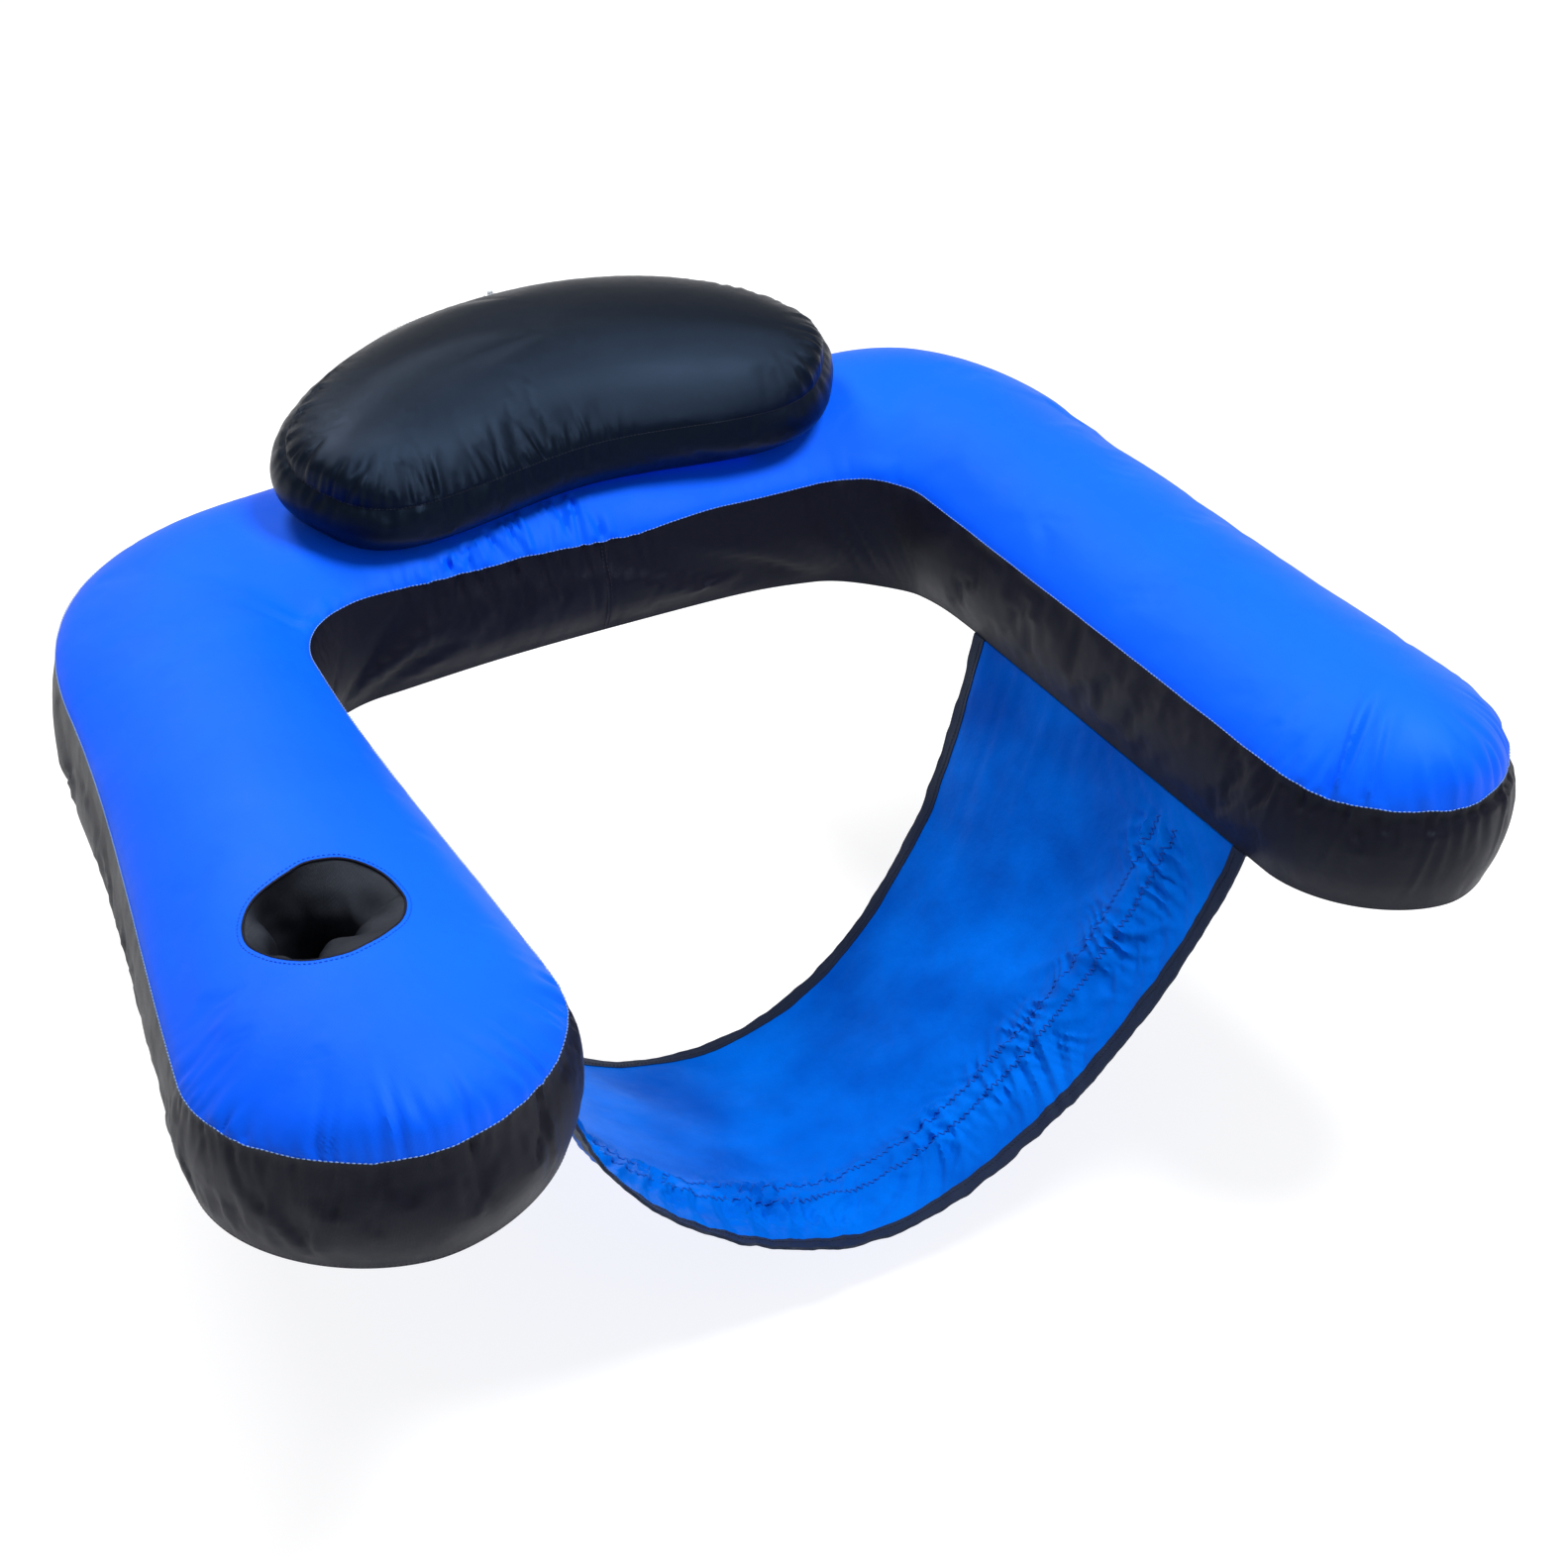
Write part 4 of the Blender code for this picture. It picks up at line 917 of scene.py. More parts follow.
def straight_wall(first, last, heights):
    """The back wall between two x positions, at the given heights."""
    y = BACK_HALF_WIDTH + WALL_BULGE * np.sin(math.pi * heights / SEAM_HEIGHT)
    return xyz(*np.broadcast_arrays(np.linspace(first, last, 88)[:, None], y, heights))


def cup_outline(angles):
    """The share of the cup's radius at each angle: the empty mouth is pulled out of round."""
    share = np.ones_like(angles)
    for at, wide, amount in CUP_PULLS:
        share += amount * hill(turned(angles, at), wide)
    return share


def cylinder_cutter(centre, radii, low, high, axis="Z", outline=np.ones_like, count=72):
    """A closed cutter, round unless an outline is given."""
    angles = np.arange(count) * math.tau / count
    points = []
    for level, radius in ((low, radii[0]), (high, radii[1])):
        for angle, share in zip(angles, outline(angles)):
            a, b = radius * share * math.cos(angle), radius * share * math.sin(angle)
            points.append((centre[0] + a, centre[1] + b, level) if axis == "Z" else
                          (centre[0] + a, level, centre[2] + b))
    faces = [[k, (k + 1) % count, count + (k + 1) % count, count + k] for k in range(count)]
    faces += [list(range(count)), list(range(count, 2 * count))]
    cutter = mesh_object("cutter", points, faces)
    cutter.data.shade_flat()
    change_mesh(cutter, outward)
    return cutter


def valve_cutter(centre, low, high):
    """The hole that a valve's stem comes through."""
    return cylinder_cutter(centre, (VALVE_HOLE, VALVE_HOLE), low, high, "Y", count=40)


def calm_above(places):
    """calm_at for the top of the tube, seen from above."""
    return calm_at(np.concatenate([places[..., :2], np.full(places.shape[:-1] + (1,), 0.1)], axis=-1))


def tube_grids():
    """The finished top panel and wall of the tube, with the depth of the top's points behind its seam."""
    top = tube_top()
    loop = border_of(top)
    wall = wall_points(loop, SEAM_HEIGHT, WALL_BULGE, TUBE_GRID[1])
    arc, total = loop_distance(loop)
    number, top_arc, depth = seam_place(loop, top)
    near_seam = gather_at(loop)
    # The cover swells under pressure while its top seam draws in.
    top_shift, wall_shift = swelling("tube_cloth", top, wall, near_seam, TUBE_CAP, (-0.012, 0.10),
                                     (60, 0.2, 0.6), (60, 0.3, 1.0), calm_at)
    top = top + top_shift * smooth(depth / 0.030)[..., None]
    wall_shift[:, -1] = border_of(top) - wall[:, -1]
    wall = wall + wall_shift

    # Folds at the seam, hollows, and a seam that wanders a little.
    calm = calm_above(top)
    folds = fold_sets(top_arc, total, (
        (depth, (arc, near_seam), 3, 0.0085, (0.0022, 0.0042), (0.012, 0.038), 0.0036),
        (depth, (arc, near_seam ** 2), 4, 0.027, (0.0040, 0.0070), (0.022, 0.048), 0.0017)))
    folds *= 0.15 + 0.85 * calm
    for fold in LONG_FOLDS:
        folds += crease(top, *fold)
    folds += pillow_tugs(top)
    swell = 0.0007 * field(top, 0.09, 21) * calm * smooth(depth / 0.02)
    sink = hollow_at(top) * smooth(depth / 0.018) * calm
    top = top + normals_of(soften(top, 2)) * (folds + swell)[..., None]
    top[..., 2] += sink
    wander = (0.0007 * near_seam + 0.00012) * field(loop, 0.035, 31)
    wander = wander + 0.0004 * near_seam * field(loop, 0.012, 32)
    wander *= calm_above(loop)
    wander += seam_dip(loop)
    top[..., 2] += wander[number] * np.exp(-depth / SEAM_FADE)
    height = wall[..., 2]
    wall[..., 2] += wander[:, None] * np.exp(-(SEAM_HEIGHT - height) / SEAM_FADE) * (height > 0.02)
    wall[..., 2] += droop_at(wall) * (1 - np.clip(height / SEAM_HEIGHT, 0, 1)) ** 1.5
    gather = (arc, np.maximum(near_seam, 0.24))
    wall_folds = fold_sets(np.broadcast_to(arc[:, None], wall.shape[:2]), total, (
        (SEAM_HEIGHT - height, gather, 5, 0.011, (0.0018, 0.0036), (0.014, 0.046), 0.0030),
        (height, gather, 6, 0.018, (0.0018, 0.0034), (0.012, 0.034), 0.0026),
        (SEAM_HEIGHT - height, gather, 7, 0.021, (0.0017, 0.0027), (0.036, 0.075), 0.0034, 0.35)))
    wall_folds *= calm_at(wall)
    wall = wall + normals_of(wall, True) * wall_folds[..., None]
    join_border(top, wall[:, -1])
    return top, wall, depth


def build_tube():
    top, wall, depth = tube_grids()
    rows, columns = top.shape[:2]
    on_tube = dict(held="stretched", rests_on=["tube_bladder"])
    mouth = cylinder_cutter(CUP_CENTRE, (CUP_RADIUS - 0.0006,) * 2, 0.10, 0.16, outline=cup_outline)
    panel("cover_top", "top_panel", top, BLUE, "blue_nylon",
          dict(flat=(1.00, 0.87), area=0.46, **on_tube), cutter=mouth)

    # The wall's panels.
    loop = border_of(tube_top())
    inner = int(np.argmin(np.abs(loop[:rows, 0])))
    outer = np.arange(rows + columns - 1, 2 * rows + columns - 2)
    right, left = (int(outer[np.argmin(np.abs(loop[outer, 0] - x))]) for x in (ZIP_RIGHT, ZIP_LEFT))
    wall[right, :, 0] = ZIP_RIGHT
    wall[left, :, 0] = ZIP_LEFT
    hole = valve_cutter((VALVE_X, 0.0, ZIP_HEIGHT), 0.08, 0.12)
    panel("gusset_right", "right_gusset", wall[inner:right + 1], NAVY, "navy_nylon",
          dict(flat=(0.089, 2.22), **on_tube), cutter=hole)
    panel("gusset_left", "left_gusset", np.concatenate([wall[left:], wall[:inner + 1]]), NAVY, "navy_nylon",
          dict(flat=(0.089, 2.20), **on_tube))
    for name, low, high in (("upper", ZIP_HEIGHT + ZIP_SLOT, SEAM_HEIGHT),
                            ("lower", 0.0, ZIP_HEIGHT - ZIP_SLOT)):
        strip = straight_wall(ZIP_RIGHT, ZIP_LEFT, np.linspace(low, high, 12))
        held = np.sin(np.linspace(0, math.pi, 12))[None, :]
        strip[..., 1] += 0.00035 * field(strip, 0.014, 41, (1.0, 1.0, 0.25)) * held
        panel("rear_strip_" + name, "rear_gusset_" + name, strip, NAVY, "navy_nylon",
              dict(flat=(0.034, 0.310), **on_tube))

    # The bottom panel is flat where it lies on the water.
    flat, flat_depth = tube_top()[::2, ::2].copy(), depth[::2, ::2]
    flat[..., 2] = 0.00005 + 0.0003 * (1 + field(flat * [1, 1, 0], 0.03, 51)) * smooth(flat_depth / 0.02)
    flat[..., 2] += droop_at(flat) * hill(flat_depth, 0.05)
    panel("cover_bottom", "bottom_panel", flat, NAVY, "navy_nylon",
          dict(flat=(1.00, 0.86), area=0.44, **on_tube), flip=True)

    # Stitches along the seams.
    out = normals_of(wall, True)
    stitches("seam_thread_top", wall[:, -1] + out[:, -1] * THREAD_LIFT + [0, 0, 0.0003],
             out[:, -1] + [0, 0, 0.8], PALE_THREAD, radius=0.0004)
    stitches("seam_thread_bottom", wall[:, 0] + out[:, 0] * 0.0001 + [0, 0, 0.0012], out[:, 0])
    for name, k in (("inner", inner), ("zip_right", right), ("zip_left", left)):
        for letter, side in (("_a", -0.0016), ("_b", 0.0016)):
            path = wall[k, 1:-1] + [side, 0, 0] + out[k, 1:-1] * 0.0001
            stitches("seam_thread_" + name + letter, path, out[k, 1:-1], closed=False)
    bladder = bladder_mesh("tube_bladder", top[::2, ::2], wall[::2, ::2], 0.0042)
    cut(bladder, cylinder_cutter(CUP_CENTRE, (CUP_BOTTOM_RADIUS + 0.005, CUP_RADIUS + 0.007),
                                 CUP_FLOOR - 0.003, 0.16, count=48))
    padded(bladder, "main_bladder", "float")


def bladder_mesh(name, top, wall, inset, place=None):
    """A closed bladder that follows its cover's top and wall from inset inside."""
    normal = normals_of(soften(top, 3))
    out = normals_of(wall, True)
    out[..., 2] = 0.0
    top = soften(top, 2) - normal * inset
    wall = wall - unit(out) * inset
    seam = wall[:, -1:, 2]
    wall[..., 2] = BLADDER_BOTTOM + wall[..., 2] * (seam - inset - BLADDER_BOTTOM) / seam
    join_border(top, wall[:, -1])
    points, faces, ids_top, ids_wall = sewn_body(top, wall)
    ids_bottom = ids_top + len(points)
    bottom = top.copy()
    bottom[..., 2] = BLADDER_BOTTOM
    join_border(ids_bottom, ids_wall[:, 0])
    points = np.concatenate([points, bottom.reshape(-1, 3)])
    faces = np.concatenate([faces, grid_faces(ids_bottom)[:, ::-1]])

    def drop_loose(bm):
        bmesh.ops.delete(bm, geom=[v for v in bm.verts if not v.link_faces], context="VERTS")

    piece = mesh_object(name, points if place is None else place(points), faces, VINYL)
    change_mesh(piece, drop_loose)
    return piece


# ---- cup pocket
def left_arm_surface(x, y):
    """Height of the left arm's crown above the points (x, y)."""
    arm, turn, corner = arm_turn(-1)
    s = BACK_HALF_STRAIGHT + corner
    s = s + (-arm["corner_radius"] * (1 - math.cos(turn)) - y) / math.sin(turn)
    cx, cy, nx, ny, half, crown = arm_frame(-1, s)
    off = (x - cx) * nx + (y - cy) * ny
    return SEAM_HEIGHT + crown_rise(crown, np.ones_like(crown), off / half)


def build_cup():
    cx, cy = CUP_CENTRE
    steps = CUP_GRID[0]
    angles = np.arange(steps) * math.tau / steps
    levels = np.linspace(0, 1, CUP_GRID[1])
    cos, sin = np.cos(angles), np.sin(angles)
    wander = cup_outline(angles)
    rim_radius = (CUP_RADIUS - 0.0012) * wander
    mouth = left_arm_surface(cx + rim_radius * cos, cy + rim_radius * sin) - 0.0016
    # The empty pocket falls in: broad lobes of its wall lean inward and meet off the middle.
    push, rise = np.full(steps, 0.007), np.zeros(steps)
    for at, wide, lean, lift in CUP_LOBES:
        lobe = hill(turned(angles, at), wide)
        push += lean * lobe
        rise += lift * lobe
    points = np.zeros((steps, len(levels), 3))
    for k, w in enumerate(levels):
        down = min(w / CUP_WALL_SHARE, 1.0)
        inward = max((w - CUP_WALL_SHARE) / (1 - CUP_WALL_SHARE), 0.0)
        fall = math.sin(math.pi * down ** 0.8) ** 1.2 if down < 1 else 0.0
        radius = (rim_radius * (1 - down) + (CUP_BOTTOM_RADIUS - 0.001) * down - push * fall) * (1 - inward)
        height = (mouth * (1 - down) + (CUP_FLOOR + 0.0012) * down) + rise * fall
        points[:, k] = xyz(cx + radius * cos + CUP_FALL[0] * fall, cy + radius * sin + CUP_FALL[1] * fall,
                           height)
    # Crumples: soft folds that run down the wall.
    normal = normals_of(points, True)
    seen = np.concatenate([points[..., :2], points[..., 2:] * 0.35], axis=-1)
    share = smooth((levels - 0.04) / 0.20)[None, :] * (1 - smooth((levels - 0.9) / 0.1))[None, :]
    ridges = 1 - np.abs(field(seen, 0.036, 61)) * 1.3
    crumple = 0.0018 * np.clip(ridges, -1, 1) + 0.0004 * field(points, 0.014, 62)
    points = points + normal * (crumple * share)[..., None]
    points[..., 2] = np.maximum(points[..., 2], CUP_FLOOR + 0.0004)
    piece = grid_piece("cup_lining", points, POCKET, True, flip=True)

    def close(bm):
        weld(bm, 1e-5)
        outward(bm)

    change_mesh(piece, close)
    thicken(piece, 0.0006, 0.0)
    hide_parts("cup_sleeve", "cup_floor")
    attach(piece, "float")

    out = xyz(cos, sin, 0 * angles)
    ring = CUP_RADIUS * wander - 0.0010 + 0.0003 * field(out, 0.25, 63)
    x, y = cx + ring * cos, cy + ring * sin
    path = xyz(x, y, left_arm_surface(x, y) - 0.0004)
    rim = cord_mesh("cup_rim", path, 0.0009, NAVY, closed=True)
    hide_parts("cup_rim_binding")
    x, y = x + 0.0034 * cos, y + 0.0034 * sin
    path = xyz(x, y, left_arm_surface(x, y) + 0.0001)
    stitches("cup_rim_thread", path, out * 0.3 + [0, 0, 1], BLUE_THREAD)


# ---- head pillow
def pillow_place():
    turn = Euler((PILLOW_TILT, -PILLOW_LEAN, 0.0), "XYZ")
    return np.array(Matrix.Translation(PILLOW_CENTRE) @ turn.to_matrix().to_4x4())


def placed(points):
    place = pillow_place()
    return points @ place[:3, :3].T + place[:3, 3]


def pillow_point(t, off):
    """Places of the pillow's bowed shape, seen from above: t along it and off across it."""
    slope = -2 * PILLOW_BOW * t / PILLOW_HALF_LENGTH
    size = np.sqrt(1 + slope * slope)
    return PILLOW_HALF_LENGTH * t - slope / size * off, -PILLOW_BOW * t * t + off / size


def pillow_top():
    """The pillow's top panel in its own frame: rows from its left end to its right, columns front to back."""
    p, u = (np.linspace(-1, 1, count) for count in PILLOW_GRID[:2])
    p, u = np.meshgrid(p, u, indexing="ij")
    across, t = rounded(u, p, PILLOW_EXPONENT)
    tip = np.maximum(1 - np.abs(t) ** PILLOW_EXPONENT, 0.0) ** (1 / PILLOW_EXPONENT)
    x, y = pillow_point(t, across * PILLOW_HALF_DEPTH)
    share = np.where(tip > 1e-6, across / np.maximum(tip, 1e-6), 1.0)
    share[0] = share[-1] = 1.0
    share[:, 0] = share[:, -1] = 1.0
    share = np.clip(np.abs(share), 0.0, 1.0)
    z = PILLOW_GUSSET + PILLOW_CROWN * tip ** CROWN_EXPONENT * (1 - share * share) ** CROWN_EXPONENT
    return xyz(x, y, z + SKIRT * (1 - share * share) ** 0.35)


def pillow_calm(wall):
    """0 on the pillow's gusset round its valve and along its lower edge, 1 elsewhere."""
    valve = np.hypot(wall[..., 0], wall[..., 2] - PILLOW_GUSSET / 2)
    calm = 1 - (wall[..., 1] > 0.06) * (1 - smooth((valve - 0.013) / 0.02))
    return calm * smooth(wall[..., 2] / 0.015)


def build_pillow():
    top = pillow_top()
    loop = border_of(top)
    wall = wall_points(loop, PILLOW_GUSSET, PILLOW_BULGE, PILLOW_GRID[2])
    arc, total = loop_distance(loop)
    _, top_arc, depth = seam_place(loop, top)
    front = smooth((-loop[:, 1] - 0.02) / 0.05)
    ends = smooth((np.abs(loop[:, 0]) - 0.13) / 0.06)
    left_front = smooth((0.05 - loop[:, 0]) / 0.08) * front
    gathers = np.clip(0.12 + 0.9 * left_front + 0.75 * ends, 0.0, 1.0)
    calm = pillow_calm(wall)
    top_shift, wall_shift = swelling("pillow_cloth", top, wall, gathers, PILLOW_CAP, (-0.010, 0.02),
                                     (120, 0.15, 0.5), (60, 0.15, 0.6))
    top = top + top_shift * smooth(depth / 0.025)[..., None]
    wall = wall + wall_shift * calm[..., None]

    gather = (arc, gathers)
    folds = fold_sets(top_arc, total, (
        (depth, gather, 7, 0.0048, (0.0015, 0.0027), (0.010, 0.030), 0.0024),
        (depth, (arc, gathers ** 2), 8, 0.017, (0.0026, 0.0046), (0.022, 0.044), 0.0011)))
    top = top + normals_of(soften(top, 2)) * folds[..., None]
    height = wall[..., 2]
    wall_folds = fold_sets(np.broadcast_to(arc[:, None], wall.shape[:2]), total, (
        (PILLOW_GUSSET - height, gather, 9, 0.0075, (0.0018, 0.0036), (0.008, 0.022), 0.0016),
        (height, gather, 10, 0.010, (0.0020, 0.0040), (0.006, 0.016), 0.0009)))
    wall_folds *= calm
    wall = wall + normals_of(wall, True) * wall_folds[..., None]
    join_border(top, wall[:, -1])

    hole = valve_cutter((0.0, 0.0, PILLOW_GUSSET / 2), PILLOW_HALF_DEPTH - 0.006,
                        PILLOW_HALF_DEPTH + PILLOW_BULGE + 0.01)
    hole.data.transform(Matrix(pillow_place().tolist()))
    base = pillow_top()[::2, ::2].copy()
    base[..., 2] = 0.0
    for name, node, points, size, settings in (
            ("top", "top_panel", top, dict(flat=(0.230, 0.490), area=0.094), {}),
            ("side", "gusset", wall, dict(flat=(0.047, 1.16)), dict(closed=True, cutter=hole)),
            ("base", "bottom_panel", base, dict(flat=(0.225, 0.480), area=0.078), dict(flip=True))):
        panel("pillow_" + name, "pillow_" + node, placed(points), SATIN, "black_satin",
              dict(held="stretched", rests_on=["pillow_cushion"], **size), "pillow", **settings)
    wall_placed = placed(wall)
    out = normals_of(wall_placed, True)
    for name, level, lift, lean in (("top", -1, 0.0003, 0.8), ("base", 0, 0.0008, 0.0)):
        path = wall_placed[:, level] + out[:, level] * THREAD_LIFT + [0, 0, lift]
        stitches("pillow_thread_" + name, path, out[:, level] + [0, 0, lean], NAVY_THREAD, "pillow",
                 pitch=0.0030, length=0.0021, radius=0.0003)
    cushion = bladder_mesh("pillow_cushion", top[::2, ::2], wall[::2, ::2], 0.0060, placed)
    padded(cushion, "pillow_bladder", "pillow")


def build_pillow_strip():
    """The strip of cloth that runs from the cover to the pillow's front lower edge and is sewn to both."""
    t = np.linspace(-0.80, 0.80, 150)
    off = 0.002 - PILLOW_HALF_DEPTH * (1 - np.abs(t) ** PILLOW_EXPONENT) ** (1 / PILLOW_EXPONENT)
    edge = placed(xyz(*pillow_point(t, off), 0 * t - 0.0007))
    crown = np.where(edge[:, 0] < 0, arm_frame(-1, np.abs(edge[:, 0]))[5], arm_frame(1, edge[:, 0])[5])

    def cover_at(y):
        return SEAM_HEIGHT + crown_rise(crown, np.ones_like(crown), y / BACK_HALF_WIDTH) + 0.0004

    seam = cover_at(STRIP_SEAM_Y)
    rows = []
    for share in np.linspace(0, 1, 9):
        y = STRIP_SEAM_Y + (edge[:, 1] - STRIP_SEAM_Y) * share
        rows.append(xyz(edge[:, 0], y, np.maximum(cover_at(y), seam + (edge[:, 2] - seam) * share)))
    piece = grid_piece("pillow_strip", np.stack(rows, axis=1), BLUE)
    thicken(piece, 0.0006, 0.0)
    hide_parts("pillow_sewn_strip")
    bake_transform(piece)


# ---- hanging seat
def inner_edge(side, y):
    """The bottom inner edge of an arm at the given y."""
    arm, turn, corner = arm_turn(side)
    start = BACK_HALF_STRAIGHT + corner
    corner_y = -arm["corner_radius"] * (1 - math.cos(turn))
    aim = y
    for _ in range(4):
        cx, cy, nx, ny, half, _ = arm_frame(side, start + (corner_y - aim) / math.sin(turn))
        edge_x, edge_y = cx - nx * half, cy - ny * half
        aim = aim + (y - edge_y)
    return edge_x, nx, ny


def seat_grid(v, angle):
    """Points of the seat: rows from left to right, columns from its rear edge to its front edge."""
    v, angle = np.meshgrid(v, angle)
    y = SEAT_REAR_Y + (SEAT_FRONT_Y - SEAT_REAR_Y) * v
    left = inner_edge(-1, y)[0]
    right = inner_edge(1, y)[0]
    exponent = SEAT_REAR_EXPONENT + (SEAT_FRONT_EXPONENT - SEAT_REAR_EXPONENT) * v
    across = np.sign(angle) * np.abs(np.sin(angle)) ** (2 / exponent)
    down = np.maximum(np.cos(angle), 0.0) ** (2 / exponent)
    depth = SEAT_REAR_DEPTH + (SEAT_FRONT_DEPTH - SEAT_REAR_DEPTH) * v
    half = (right - left) / 2 - 0.0005
    x = (left + right) / 2 + half * across + SEAT_SHIFT * down
    x = x - SEAT_RIGHT_SLACK * 4 * down * (1 - down) * (across > 0)
    return xyz(x, y - SEAT_LEAN * (1 - v) * down, SEAT_TOP - depth * down)


def seat_columns():
    """Places of the seat's columns from rear to front, closer together over the elastic."""
    v = np.linspace(0, 1, 2001)
    return respaced(v, 0.0130 - 0.0060 * smooth((v - 0.60) / 0.08) * smooth((0.97 - v) / 0.03))


def seat_even(v):
    """The seat's grid with its rows evenly spaced from side to side."""
    dense = seat_grid(v, np.linspace(-math.pi / 2, math.pi / 2, 900))
    steps = np.linalg.norm(np.diff(dense, axis=0), axis=-1)
    columns = []
    for k in range(len(v)):
        reach = reach_of(steps[:, k])
        at = np.linspace(0, reach[-1], SEAT_ROWS)
        columns.append(xyz(*(np.interp(at, reach, dense[:, k, axis]) for axis in range(3))))
    return np.stack(columns, axis=1)


def tucked(cloth, normal):
    """The seat with one more row at each side, turned in between the arm and its tab."""
    sides = []
    for row, side in ((cloth[0], -1), (cloth[-1], 1)):
        extra = row.copy()
        extra[:, 0] += side * 0.0040
        extra[:, 2] = -0.00025
        sides.append(extra[None])
    cloth = np.concatenate([sides[0], cloth, sides[1]])
    return cloth, np.concatenate([normal[:1], normal, normal[-1:]])


def elastic_folds(arc, v):
    """Sharp folds that the elastic draws across its band and out to both sides, leaning both ways."""
    length = SEAT_REAR_Y - SEAT_FRONT_Y
    middle = (SEAT_ELASTIC[0] + SEAT_ELASTIC[1]) / 2
    off = (v - middle) * length
    beyond = np.maximum(np.abs(off) - (SEAT_ELASTIC[1] - SEAT_ELASTIC[0]) / 2 * length, 0.0)
    place = xyz(arc, off * 0.6, 0 * arc)
    ridges = []
    for seed, slant in ((91, 0.60), (92, -0.60)):
        phase = (arc + slant * off) / 0.0210 + 1.1 * field(place, 0.070, seed)
        strength = 0.60 + 0.40 * np.clip(field(place, 0.045, seed + 5), -1, 1)
        ridges.append((1 - 2 * np.abs(np.sin(math.pi * phase)) + 0.3) * strength)
    amount = 0.70 + 0.30 * np.clip(field(place, 0.075, 93), -1, 1)
    reach = np.where(off < 0, 0.024, 0.032)
    swing = 2 * math.pi * ((arc + 0.9 * off) / 0.034 + 0.6 * field(place, 0.090, 94))
    drawn = 0.0026 * np.cos(swing) ** 3 * hill(beyond, 0.055) * (off > 0)
    inside = 0.0034 + 0.0024 * np.abs(off) / 0.0114
    height = np.where(beyond > 0, 0.0058 * hill(beyond, reach), inside)
    return ((np.maximum(*ridges) - 0.30) * height + drawn) * amount


def seat_folds(v, arc, depth, flat):
    """Soft waves of the hanging cloth, the elastic's puckers and small folds along both edges."""
    width = arc[-1, 0]
    soft = 0.0035 * field(flat, 0.16, 71, (1.0, 0.55, 1.0))
    soft = soft + 0.0014 * field(flat, 0.065, 72, (1.0, 0.45, 1.0))
    soft *= between(v, 0, 1, 0.08) * smooth((0.72 - v) / 0.10 + 0.35)
    places = np.linspace(0, width * 1.02, 400)
    amounts = 0.55 + 0.45 * np.sin(np.linspace(0, 9 * math.pi, 400)) ** 2
    edge_folds = fold_sets(arc, width * 1.02, (
        (depth, (places, amounts * 0.5), 15, 0.02, (0.004, 0.008), (0.010, 0.025), 0.0014),
        (depth.max() - depth, (places, amounts * 0.6), 16, 0.02, (0.004, 0.009), (0.012, 0.030), 0.0018)))
    return soft + elastic_folds(arc, v[None, :] + 0 * arc) + edge_folds


def seat_cloth_points(v):
    """The finished seat cloth and its outward normals: hung, folded and tucked in at both sides."""
    fine = seat_even(v)
    cloth = fine[::SIM_STEP, ::SIM_STEP]
    rows, columns = cloth.shape[:2]
    ids = np.arange(rows * columns).reshape(rows, columns)
    pins = [(k, 1.0) for k in np.concatenate([ids[0], ids[-1]])]
    places = v[::SIM_STEP]
    band = smooth((places - SEAT_ELASTIC[0] + 0.012) / 0.012)
    band = band * smooth((SEAT_ELASTIC[1] + 0.012 - places) / 0.012)
    gathered = [(ids[r, c], band[c]) for r in range(rows) for c in range(columns) if band[c] > 0.01]
    shift = cloth_shift("seat_cloth_sim", cloth, grid_faces(ids), pins, gathered, SEAT_CAP, gravity=1.0,
                        frames=24, stiffness=25.0, bending=0.05, shrink=(-0.02, 0.07), mass=0.15)
    shift = local_part(shift.reshape(cloth.shape), 160, 0.15) * 0.5
    rows, columns = fine.shape[:2]
    cloth = fine + upsample(shift, rows, columns)

    across = np.linspace(0, 1, rows)[:, None] + 0 * v[None, :]
    width = np.linalg.norm(np.diff(cloth[:, columns // 2], axis=0), axis=-1).sum()
    arc = across * width
    depth = (SEAT_REAR_Y - SEAT_FRONT_Y) * v[None, :] + 0 * across
    held = between(across, 0, 1, 0.04)
    flat = xyz(arc, depth, 0 * arc)
    cloth = cloth - normals_of(cloth) * (seat_folds(v, arc, depth, flat) * held)[..., None]
    # The long edges wave a little in and out.
    ahead = np.gradient(cloth, axis=1)
    edge_depth = np.minimum(depth, depth.max() - depth)
    wobble = 0.0013 * field(flat, 0.030, 73) + 0.0006 * field(flat, 0.012, 74)
    cloth = cloth + unit(ahead) * (wobble * held * hill(edge_depth, 0.014))[..., None]
    normal = -normals_of(cloth)
    cloth[..., 2] = np.minimum(cloth[..., 2], -0.0005)
    return tucked(cloth, normal)


def sampled(values, at, column):
    """Values of a grid at places between its rows and columns."""
    r0, c0 = np.floor(at).astype(int), np.floor(column).astype(int)
    fr, fc = (at - r0)[:, None], (column - c0)[:, None]
    upper = values[r0, c0] * (1 - fc) + values[r0, c0 + 1] * fc
    lower = values[r0 + 1, c0] * (1 - fc) + values[r0 + 1, c0 + 1] * fc
    return upper * (1 - fr) + lower * fr


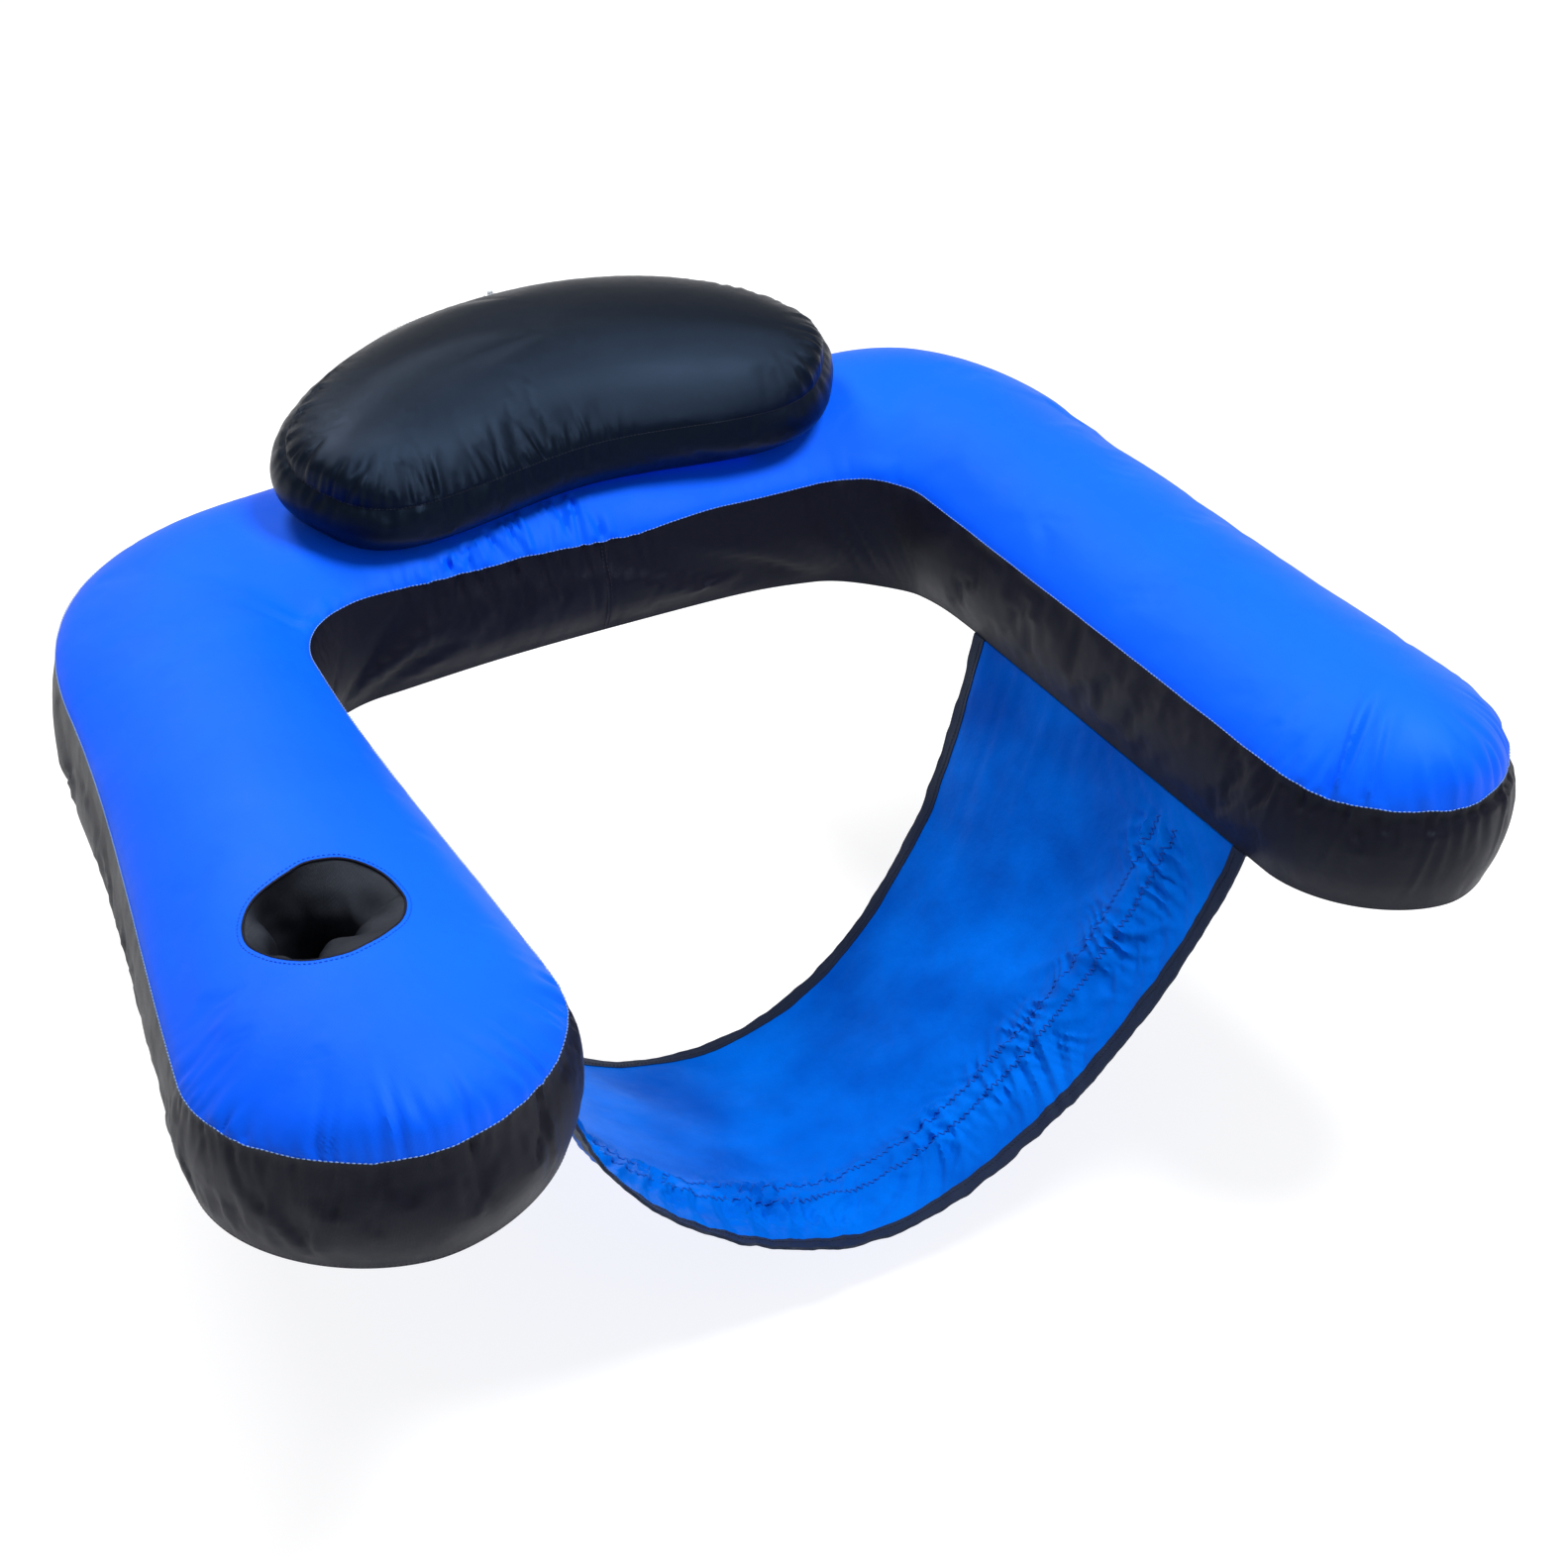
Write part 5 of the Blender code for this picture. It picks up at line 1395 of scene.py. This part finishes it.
def build_seat_edges(v, cloth, normal):
    """The bindings of both long edges, the elastic and the zigzag rows that hold it."""
    rows, columns = cloth.shape[:2]
    first = int(np.searchsorted(v, SEAT_BINDING))
    last = columns - first - 1
    on_seat = dict(rests_on=["seat_cloth"])
    for side, part, column, length in (("rear", cloth[:, :first + 1], first - 1, 0.900),
                                       ("front", cloth[:, last:], last + 1, 0.790)):
        panel("seat_%s_edge" % side, "seat_%s_binding" % side, part, BINDING, "navy_nylon",
              dict(flat=(0.018, length), held="hung", **on_seat), thickness=0.0024, offset=0.0, flip=True)
        stitches("seat_%s_edge_thread" % side, cloth[2:-2, column] + normal[2:-2, column] * 0.0013,
                 normal[2:-2, column], closed=False)
    low, high = (int(np.searchsorted(v, edge)) for edge in SEAT_ELASTIC)
    under = cloth[4:-4, low:high + 1] - normal[4:-4, low:high + 1] * 0.0016
    panel("seat_elastic", "seat_elastic_band", under, ELASTIC, "elastic",
          dict(flat=(0.022, 0.760), held="stretched", **on_seat), thickness=0.0009, offset=0.0, flip=True)
    at = np.linspace(10, rows - 11, 1201)
    swing = (np.abs(np.arange(len(at)) / 4 % 2 - 1) - 0.5) * 2 * ZIGZAG_SWING
    for side, row in zip(("rear", "front"), SEAT_ELASTIC):
        column = np.interp(row + swing, v, np.arange(columns))
        up = sampled(normal, at, column)
        path = sampled(cloth, at, column) + up * 0.0006
        cord_mesh("seat_zigzag_" + side, path, 0.00050, BLUE_THREAD, sides=5, ups=up)


def build_seat():
    v = seat_columns()
    cloth, normal = seat_cloth_points(v)
    seat = panel("seat_cloth", "seat_panel", cloth[:, 1:-1], SEAT_BLUE, "seat_nylon", thickness=0.0007,
                 offset=0.0, flip=True)
    build_seat_edges(v, cloth, normal)
    for name, side in (("left", -1), ("right", 1)):
        y = np.linspace(SEAT_REAR_Y, SEAT_FRONT_Y, 60)
        edge_x, nx, ny = inner_edge(side, y)
        z = -0.0004 - 0.0002 * field(xyz(y, 0 * y, 0 * y), 0.02, 81 + side)
        grid = [xyz(edge_x + nx * off, y + ny * off, z - 0.0003) for off in np.linspace(0.0016, HEM_WIDTH, 5)]
        grid = np.stack(grid, axis=1)
        panel("seat_tab_" + name, "seat_%s_hem" % name, grid, BINDING, "navy_nylon",
              dict(flat=(0.0165, 0.355), held="stretched", rests_on=["cover_bottom"]), thickness=0.0012,
              flip=side > 0)
        for k, column in enumerate((1, 3)):
            stitches("seat_tab_%s_thread_%d" % (name, k), grid[1:-1, column] - [0, 0, 0.0013],
                     np.tile([0, 0, -1.0], (58, 1)), closed=False)


# ---- zipper, valves
def build_zipper():
    sides = (("upper", 1), ("lower", -1))
    for side, sign in sides:
        low, high = sorted(ZIP_HEIGHT + sign * edge for edge in (0.0024, ZIP_SLOT + 0.001))
        strip = straight_wall(ZIP_RIGHT - 0.0003, ZIP_LEFT + 0.0003, np.linspace(low, high, 7))
        strip[..., 1] -= 0.0009
        panel("zip_tape_" + side, "zipper_tape_" + side, strip, TAPE, "zip_tape",
              dict(flat=(0.0105, 0.310), held="stretched", rests_on=["rear_strip_upper"]), thickness=0.0006)
        edge = ZIP_HEIGHT + sign * (ZIP_SLOT + 0.0016)
        path = straight_wall(ZIP_RIGHT - 0.002, ZIP_LEFT + 0.002, np.array([edge]))[:, 0]
        stitches("zip_tape_%s_thread" % side, path + [0, 0.0001, 0], np.tile([0, 1.0, 0], (len(path), 1)),
                 closed=False)
    x = np.linspace(ZIP_LEFT + 0.0052, ZIP_RIGHT - 0.0052, ZIP_TURNS * 10)
    phase = np.linspace(0, ZIP_TURNS * math.tau, ZIP_TURNS * 10)
    for side, sign in sides:
        path = xyz(x + (0.0003 if sign < 0 else 0.0), WALL_Y - 0.0007 + 0.00042 * np.cos(phase),
                   ZIP_HEIGHT + sign * 0.0012 + 0.0011 * np.sin(phase))
        coil = cord_mesh("zip_coil_" + side, path, 0.00026, BLACK_PLASTIC, sides=5, ups=[1.0, 0.0, 0.0])
        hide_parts("zipper_coil_" + side)


def rematerial(material, *nodes):
    """Gives CAD nodes that stay a better material."""
    for node in nodes:
        piece = bpy.data.objects[node]
        if not piece.material_slots:
            piece.data.materials.append(material)
        for slot in piece.material_slots:
            slot.material = material


# ---- surroundings
def area_light(name, place, aim, size, power):
    light = bpy.data.lights.new(name, "AREA")
    light.shape = "DISK"
    light.size = size
    light.energy = power
    lamp = add_object(name, light)
    lamp.location = place
    lamp.rotation_euler = (Vector(aim) - Vector(place)).to_track_quat("-Z", "Y").to_euler()


def build_stage():
    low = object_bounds()[0][2]
    bpy.ops.mesh.primitive_plane_add(size=60.0, location=(0.0, 0.0, low - 0.0008))
    floor = bpy.context.object
    floor.name = "studio_floor"
    n = Nodes("pale_floor")
    n.shade({"Base Color": n.mix(n.noise(2.0), (0.32, 0.32, 0.32), (0.30, 0.30, 0.30)),
             "Roughness": 0.9, "Specular IOR Level": 0.1, "Emission Color": (1.0, 1.0, 1.0),
             "Emission Strength": 0.84})
    floor.data.materials.append(n.material)
    world = bpy.data.worlds.new("studio")
    world.use_nodes = True
    background = world.node_tree.nodes["Background"]
    background.inputs["Color"].default_value = (1.0, 1.0, 1.0, 1.0)
    background.inputs["Strength"].default_value = 0.42
    bpy.context.scene.world = world
    area_light("key", (0.65, -0.80, 2.2), (0.0, -0.25, 0.0), 0.8, 60.0)
    area_light("rear", (-0.45, 1.1, 2.1), (0.0, -0.1, 0.0), 0.8, 34.0)
    bpy.context.scene.view_settings.view_transform = "Standard"
    bpy.context.scene.view_settings.look = "None"


CAMERA_PLACE = (-0.7783, -1.7970, 1.1784)
CAMERA_AIM = (-0.0003, -0.4030, 0.0452)
CAMERA_ROLL = 0.0207
CAMERA_LENS = 61.63


def build_camera():
    place = Vector(CAMERA_PLACE)
    forward = (Vector(CAMERA_AIM) - place).normalized()
    right = forward.cross(Vector((0.0, 0.0, 1.0))).normalized()
    up = right.cross(forward)
    cos, sin = math.cos(CAMERA_ROLL), math.sin(CAMERA_ROLL)
    right, up = right * cos + up * sin, up * cos - right * sin
    data = bpy.data.cameras.new("camera")
    data.lens = CAMERA_LENS
    data.sensor_width = 36.0
    data.shift_x = -0.0009
    data.shift_y = -0.0039
    camera = add_object("camera", data)
    basis = Matrix((right, up, -forward)).transposed()
    camera.matrix_world = Matrix.Translation(place) @ basis.to_4x4()
    bpy.context.scene.camera = camera


# ---- build
build_tube()
build_cup()
build_pillow()
build_pillow_strip()
build_seat()
build_zipper()
for valve in ("main_valve_", "pillow_valve_"):
    rematerial(CLEAR, valve + "stem", valve + "flap", valve + "cap")
    rematerial(BLACK_PLASTIC, valve + "grommet")
rematerial(METAL, "zipper_stop_left", "zipper_stop_right", "zipper_slider", "zipper_pull")
build_stage()
build_camera()
